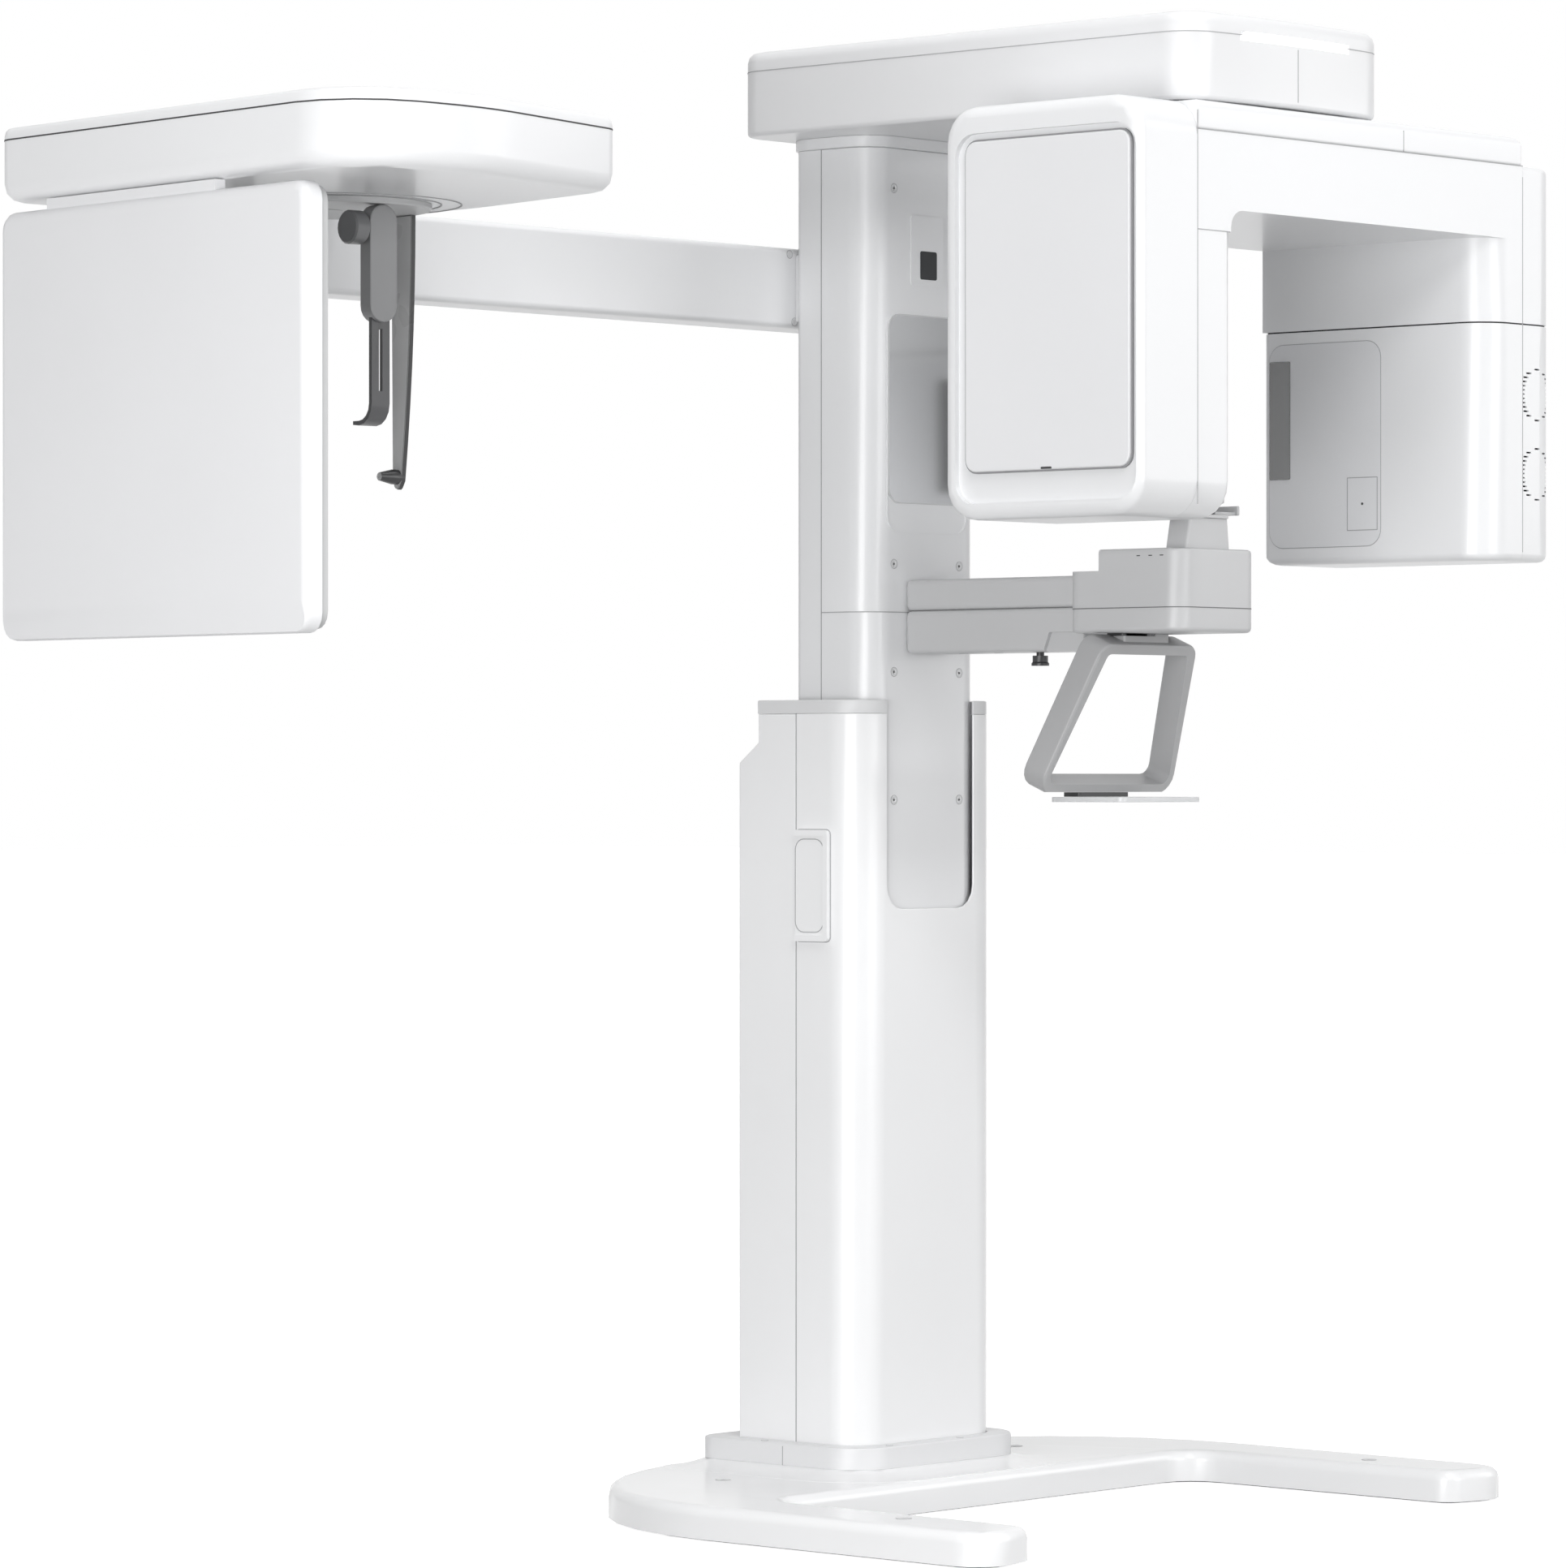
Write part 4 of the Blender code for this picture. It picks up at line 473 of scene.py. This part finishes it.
def slab(outline, low, high, axis):
    """A closed plate with an outline."""
    bm = bmesh.new()
    first, second = [[bm.verts.new(spot(u, v, w, axis)) for u, v in outline] for w in (low, high)]
    count = len(outline)
    for i in range(count):
        j = (i + 1) % count
        bm.faces.new((first[i], first[j], second[j], second[i]))
    bm.faces.new(list(reversed(first)))
    bm.faces.new(second)
    return bm


def hoop(outer, inner, low, high, axis):
    """A closed ring between two outlines with as many points."""
    bm = bmesh.new()
    rings = [[bm.verts.new(spot(u, v, w, axis)) for u, v in outline]
             for outline, w in ((outer, low), (outer, high), (inner, high), (inner, low))]
    count = len(outer)
    for first, second in zip(rings, rings[1:] + rings[:1]):
        for i in range(count):
            j = (i + 1) % count
            bm.faces.new((first[i], first[j], second[j], second[i]))
    return bm


def lathe(profile, u, v, axis, sides=24):
    """A turned piece; its profile (radius, depth) runs from the axis to the axis."""
    bm = bmesh.new()
    rings = []
    for radius, w in profile:
        points = [(u, v)] if radius <= 0 else circle(u, v, radius, sides)
        rings.append([bm.verts.new(spot(a, b, w, axis)) for a, b in points])
    for first, second in zip(rings, rings[1:]):
        for i in range(sides):
            j = (i + 1) % sides
            if len(first) == 1:
                bm.faces.new((first[0], second[j], second[i]))
            elif len(second) == 1:
                bm.faces.new((first[i], first[j], second[0]))
            else:
                bm.faces.new((first[i], first[j], second[j], second[i]))
    return bm


LEVEL_TOLERANCE = 0.0002
STRAIGHT = 1e-9


def outline_at(level, *names):
    """The convex outline of the nodes' corners at a height, counter-clockwise."""
    corners = set()
    for name in names:
        for vertex in NODES[name].data.vertices:
            if abs(vertex.co.z - level) < LEVEL_TOLERANCE:
                corners.add((round(vertex.co.x, 5), round(vertex.co.y, 5)))
    corners = sorted(corners)
    hull = []
    for path in (corners, corners[::-1]):
        start = len(hull)
        for point in path:
            while len(hull) >= start + 2 and turn_of(hull[-2], hull[-1], point) <= STRAIGHT:
                hull.pop()
            hull.append(point)
        hull.pop()
    return hull


def turn_of(a, b, c):
    """Positive where the way from a by b to c turns left."""
    return (b[0] - a[0]) * (c[1] - a[1]) - (b[1] - a[1]) * (c[0] - a[0])


def lowest(node):
    """The low corner of a node's box."""
    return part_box(node)[0]


def highest(node):
    """The high corner of a node's box."""
    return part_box(node)[1]


# ---------------------------------------------------------------- seams
SEAM_HALF = 0.0006               # half the width of a joint line between two covers
THIN_SEAM_HALF = 0.0005
CEPH_SEAM_HALF = 0.0009
SEAM_ROOT = 0.002                # how far a seam's ring reaches into the cover


def level_seam(name, node, level, body, material=SEAM, half=SEAM_HALF):
    """The joint line that runs round a cover at one height."""
    outline = outline_at(level, node)
    bm = hoop(grown(outline, PROUD), grown(outline, -SEAM_ROOT), level - half, level + half, "Z")
    put(name, bm, material, body)


def upright_seam(name, x, y, low, high, body, along="X", half=SEAM_HALF):
    """A joint line up a face that looks along X or along Y."""
    across, face = (y, x) if along == "X" else (x, y)
    outline = rounded(across - half, across + half, low, high, 0)
    put(name, slab(outline, face - PROUD, face + PROUD, along), SEAM, body)


def make_seams():
    """Joint lines on the housing, column, casing, collar, chin support and cephalometric box."""
    housing = highest("top_shell")
    level_seam("housing_seam", "top_cover", lowest("top_cover").z, "column")
    upright_seam("housing_front_seam", 0.0, lowest("top_shell").y, lowest("top_shell").z + 0.008,
                 housing.z - 0.010, "column", "Y")
    level_seam("column_seam", "column_lower_cover", highest("column_lower_cover").z, "column")
    casing_top = highest("casing_front").z
    for side, word in ((-1, "left"), (1, "right")):
        column_x = side * highest("column_upper_cover").x
        upright_seam(f"column_{word}_seam", column_x, lowest("column_rear_cover").y,
                     lowest("column_lower_cover").z + 0.002, highest("column_upper_cover").z, "column")
        casing_x = side * highest("casing_front").x
        upright_seam(f"casing_{word}_seam", casing_x, lowest("casing_rear").y,
                     highest("base_collar").z, casing_top, "base")
        collar = highest("base_collar")
        upright_seam(f"collar_{word}_seam", side * collar.x, lowest("casing_rear").y,
                     lowest("base_collar").z, collar.z - 0.004, "base")
    level_seam("support_seam", "chin_head_lower", highest("chin_head_lower").z, "column", ARM_SEAM)
    level_seam("support_arm_seam", "chin_arm_lower", highest("chin_arm_lower").z, "column", ARM_SEAM)
    level_seam("ceph_box_seam", "ceph_cover", lowest("ceph_cover").z, "column", SEAM_DARK_AND_SHADE,
               CEPH_SEAM_HALF)


COVER_SPLIT = 0.62               # where the bridge's cover is divided, along the bridge


def make_rotor_seams():
    """Joint lines between the C-arm's covers."""
    low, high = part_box("bridge_shell")
    front, rear = low.y, high.y
    split, end = low.x, high.x
    joint = lowest("bridge_cover").z
    for y, word in ((front, "front"), (rear, "rear")):
        put(f"bridge_{word}_seam", slab(rounded(split, end, joint - SEAM_HALF, joint + SEAM_HALF, 0),
                                        y - PROUD, y + PROUD, "Y"), SEAM, "rotor")
        upright_seam(f"detector_{word}_seam", split, y if word == "front" else
                     highest("detector_cover").y, lowest("detector_cover").z + 0.016,
                     highest("detector_cover").z - 0.014, "rotor", "Y", THIN_SEAM_HALF)
        upright_seam(f"generator_{word}_seam", end, y, lowest("generator_shell").z + 0.012,
                     highest("generator_end_upper").z - 0.014, "rotor", "Y", THIN_SEAM_HALF)
    across = highest("detector_inner")
    outline = rounded(lowest("detector_inner").x, across.x - 0.002, across.z - SEAM_HALF,
                      across.z + SEAM_HALF, 0)
    put("detector_inner_seam", slab(outline, front - PROUD, front + PROUD, "Y"), SEAM, "rotor")
    cover_joint = split + COVER_SPLIT * (end - split)
    upright_seam("bridge_cover_seam", cover_joint, front, joint, highest("bridge_cover").z - 0.010,
                 "rotor", "Y", THIN_SEAM_HALF)


# ---------------------------------------------------------------- column and stand trim
CAP_RADIUS = 0.0050
ARM_REAR_CAP, BASE_CAP, COLLAR_CAP, ARM_UNDER_CAP, CEPH_CAP = 0.0065, 0.0085, 0.0034, 0.0045, 0.0042
LIP_HEIGHT = 0.0007
LIP_WIDTH = 0.0010
COLUMN_CAP_SPREAD, COLUMN_REAR_CAP_SPREAD, CASING_REAR_CAP_SPREAD = 0.065, 0.085, 0.118
MIRROR_LEDGE = 0.039             # how far the mirror's frame runs on under the glass
MIRROR_FRAME_GAP = 0.0022
MIRROR_FRAME_WIDTH = 0.0016
MIRROR_FRAME_PROUD = 0.0011
MIRROR_CORNER = 0.020
LABEL_WINDOW = (-0.015, 0.018, 1.597, 1.634)      # X from, to, Z from, to


def screw_cap(name, u, v, face, out, body, axis="Y", radius=CAP_RADIUS):
    """A round plastic cap in its counterbore: a raised lip, a ring groove and a dished middle."""
    wide = radius + LIP_WIDTH
    profile = [(0, -ROOTED), (wide, -ROOTED), (wide, LIP_HEIGHT * 0.4), (radius, LIP_HEIGHT),
               (radius * 0.82, LIP_HEIGHT), (radius * 0.72, 0.0002), (radius * 0.30, 0.0), (0, 0.0)]
    put(name, lathe([(r, face + out * w) for r, w in profile], u, v, axis), CAP_WHITE, body)
    ring = hoop(circle(u, v, radius + 0.0014), circle(u, v, radius + 0.0002), face + out * PROUD,
                face - out * ROOTED, axis)
    put(name + "_ring", ring, SEAM, body)


def cap_pairs(stem, heights, spread, face, out, body):
    """A pair of caps at each height, as far left as right."""
    for i, z in enumerate(heights):
        for side, word in ((-1, "left"), (1, "right")):
            screw_cap(f"{stem}_{i}_{word}", side * spread, z, face, out, body)


def make_column_trim():
    """Caps on the column, the mirror's frame, the label's window and the arm bracket's screws."""
    front = lowest("column_upper_cover").y
    cap_pairs("column_cap", (1.713, 1.224, 1.0835, 0.917), COLUMN_CAP_SPREAD, front, -1, "column")
    low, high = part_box("column_mirror")
    gap = MIRROR_FRAME_GAP
    outer = rounded(low.x - gap, high.x + gap, low.z - MIRROR_LEDGE, high.z + gap,
                    MIRROR_CORNER + 0.002)
    inner = grown(outer, -MIRROR_FRAME_WIDTH)
    put("mirror_frame", hoop(outer, inner, front - MIRROR_FRAME_PROUD, front + ROOTED, "Y"), WHITE,
        "column")
    edge = rounded(low.x, high.x, low.z, high.z, MIRROR_CORNER)
    put("mirror_edge", hoop(grown(edge, 0.0009), grown(edge, -0.0006), low.y - 0.0003,
                            front + ROOTED, "Y"), MARK, "column")
    plate = lowest("label_plate")
    put("label_window", slab(rounded(*LABEL_WINDOW, 0.003), plate.y - PROUD, plate.y, "Y"), WINDOW,
        "column")
    rear = highest("column_rear_cover").y
    cap_pairs("column_rear_cap", (1.700, 1.400, 1.120), COLUMN_REAR_CAP_SPREAD, rear, 1, "column")
    bracket_low, bracket_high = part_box("ceph_bracket")
    inside = (bracket_low.z + bracket_high.z) / 2
    arm_rear = highest("ceph_arm").y
    for i, x in enumerate((-0.070, 0.0, 0.055)):
        for k, lift in enumerate((-0.030, 0.030)):
            screw_cap(f"arm_rear_cap_{i}_{k}", x, inside + lift, arm_rear, 1, "column",
                      radius=ARM_REAR_CAP)


GRIP_CORNER = 0.006
HOLLOW_CORNER = 0.014


def make_stand_trim():
    """Caps on the stand, collar and casing, the side grip's edges and the inlet's plate."""
    top = cover_top("base_cover")
    for i, (x, y) in enumerate(((-0.291, 0.028), (0.291, 0.028), (-0.468, -0.435), (0.468, -0.435))):
        screw_cap(f"base_cap_{i}", x, y, top, 1, "base", "Z", BASE_CAP)
    collar = highest("base_collar")
    for i, (x, y) in enumerate(((-0.092, collar.y - 0.016), (0.092, collar.y - 0.016),
                                (-0.100, lowest("base_collar").y + 0.010),
                                (0.040, lowest("base_collar").y + 0.010),
                                (lowest("base_collar").x + 0.010, 0.075),
                                (collar.x - 0.010, 0.075))):
        screw_cap(f"collar_cap_{i}", x, y, collar.z, 1, "base", "Z", COLLAR_CAP)
    low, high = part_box("side_grip")
    around = rounded(low.y, high.y, low.z, high.z, GRIP_CORNER)
    face = lowest("casing_rear").x
    put("grip_edge", hoop(grown(around, 0.0012), grown(around, -0.001), face - PROUD,
                          face + ROOTED, "X"), SEAM, "base")
    hollow = rounded(low.y + 0.009, high.y - 0.001, low.z + 0.012, high.z - 0.012,
                     HOLLOW_CORNER)
    floor_x = (low.x + face) / 2
    put("grip_hollow_edge", hoop(grown(hollow, 0.0006), grown(hollow, -0.0006), floor_x - PROUD,
                                 floor_x + ROOTED, "X"), SEAM, "base")
    rear = highest("casing_rear").y
    cap_pairs("casing_rear_cap", (0.160, 0.480, 0.860), CASING_REAR_CAP_SPREAD, rear, 1, "base")
    low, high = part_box("power_panel")
    put("inlet_pins_plate", slab(rounded(low.x + 0.012, high.x - 0.012, low.z + 0.010, low.z + 0.024,
                                         0.002), high.y - 0.006, high.y - 0.004, "Y"), DARK, "base")


LEG_REACH = 0.45                 # past this distance from the middle there is only the legs' flat top


def cover_top(node):
    """The height of the broad flat top of the stand's cover."""
    return max(round(v.co.z, 4) for v in NODES[node].data.vertices if abs(v.co.x) > LEG_REACH)


# ---------------------------------------------------------------- C-arm trim
DETECTOR_CORNER = 0.016
NOTCH_HALF = 0.0085


def make_detector_trim():
    """The groove round the detector's panel and the notch at its foot."""
    low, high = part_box("detector_panel")
    outline = rounded(low.y, high.y, low.z, high.z, DETECTOR_CORNER)
    floor = high.x
    put("detector_groove", hoop(grown(outline, 0.0022), grown(outline, -0.001), floor - 0.0035,
                                floor + 0.0002, "X"), GROOVE, "rotor")
    middle = (low.y + high.y) / 2
    put("detector_notch", slab(rounded(middle - NOTCH_HALF, middle + NOTCH_HALF,
                                       low.z + 0.0005, low.z + 0.0032, 0.001), low.x - PROUD,
                               low.x + 0.002, "X"), SEAM_DARK_AND_SHADE, "rotor")


PANEL_CORNER = 0.022
PANEL_RISE = 0.0011
HATCH = (-0.518, -0.468, 1.269, 1.339)            # Y from, to, Z from, to
HATCH_SCREW = (-0.493, 1.304)                     # Y, Z
GAP_SETBACK = 0.0022             # how far the dark core, painted shade in the joint between the covers, stands back


def make_generator_trim():
    """The raised panel, hatch and screw on the inner face, and a dark core painted as the shade in the
    joint between covers.
    """
    face = lowest("generator_shell").x
    rear = highest("generator_shell").y
    panel = rounded(-0.522, rear - 0.0125, 1.249, 1.5165, PANEL_CORNER, 6)
    put("inner_panel", slab(panel, face + ROOTED, face - PANEL_RISE, "X"), PANEL_SHADE, "rotor")
    put("inner_panel_edge", hoop(grown(panel, 0.0009), grown(panel, -0.0002), face - PROUD,
                                 face + ROOTED, "X"), SEAM, "rotor")
    hatch = rounded(*HATCH, 0.001)
    put("inner_hatch_edge", hoop(hatch, grown(hatch, -0.0012), face - 0.0014, face, "X"), SEAM,
        "rotor")
    screw = [(0, 0.001), (0.0017, 0.001), (0.0017, -0.0016), (0, -0.0016)]
    put("inner_hatch_screw", lathe([(r, face + w) for r, w in screw], *HATCH_SCREW, "X", 12),
        SEAM_DARK_AND_SHADE, "rotor")
    gap_low = highest("generator_shell").z
    gap_high = lowest("generator_end_upper").z
    # A near-black slab set back in the joint: painted shade between the generator's covers.
    core = grown(outline_at(gap_low, "generator_shell", "generator_end_lower"), -GAP_SETBACK)
    put("generator_gap_painted_shade", slab(core, gap_low - ROOTED, gap_high + ROOTED, "Z"), SEAM_DARK_AND_SHADE, "rotor")


# ---------------------------------------------------------------- support and head holder trim
MARK_HALF = 0.0028
FOOT = (-0.048, 0.020, -0.437, -0.409)            # X from, to, Y from, to


def make_support_trim():
    """The marks on the head block, the foot under it and the caps under the chin arm."""
    low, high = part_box("chin_head_upper")
    for i, y in enumerate((-0.4877, -0.507, -0.5251)):
        mark = rounded(y - MARK_HALF, y + MARK_HALF, high.z - 0.0098, high.z - 0.0086, 0.0005, 2)
        put(f"head_mark_{i}", slab(mark, low.x - PROUD, low.x + ROOTED, "X"), SEAM_DARK_AND_SHADE, "column")
    under = lowest("chin_head_lower").z
    put("head_foot", slab(rounded(*FOOT, 0.003), under - 0.0035, under + ROOTED, "Z"), DARK,
        "column")
    arm_low = lowest("chin_arm_lower").z
    for i, y in enumerate((-0.130, -0.190)):
        screw_cap(f"arm_under_cap_{i}", 0.0, y, arm_low, -1, "column", "Z", ARM_UNDER_CAP)


CHUCK_RINGS = (0.164, 0.140)
CHUCK_RING_WIDTH = 0.0022
HUB_FACE_RADIUS, HUB_RADIUS = 0.022, 0.024


def make_ceph_trim():
    """Caps on the cephalometric arm, and the rings and hub under its box."""
    bolt_y = lowest("ceph_arm").y
    for name, x, z in (("upper", -0.1116, 1.6315), ("lower", -0.1022, 1.5435)):
        screw_cap(f"ceph_arm_cap_{name}", x, z, bolt_y, -1, "column", radius=CEPH_CAP)
    low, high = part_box("chuck_disc")
    x = (low.x + high.x) / 2
    y = (low.y + high.y) / 2
    under = lowest("ceph_shell").z
    for i, radius in enumerate(CHUCK_RINGS):
        put(f"chuck_ring_{i}", hoop(circle(x, y, radius, 64),
                                    circle(x, y, radius - CHUCK_RING_WIDTH, 64), under - 0.0008,
                                    under + ROOTED, "Z"), SEAM, "column")
    hub = [(0, low.z - 0.0010), (HUB_FACE_RADIUS, low.z - 0.0010), (HUB_RADIUS, low.z + ROOTED),
           (0, low.z + ROOTED)]
    put("chuck_hub", lathe(hub, x, y, "Z", 32), RIM_GREY, "chuck")


dress_frame()
make_seams()
make_rotor_seams()
make_column_trim()
make_stand_trim()
make_detector_trim()
make_generator_trim()
make_support_trim()
make_ceph_trim()
make_camera()
make_stage()
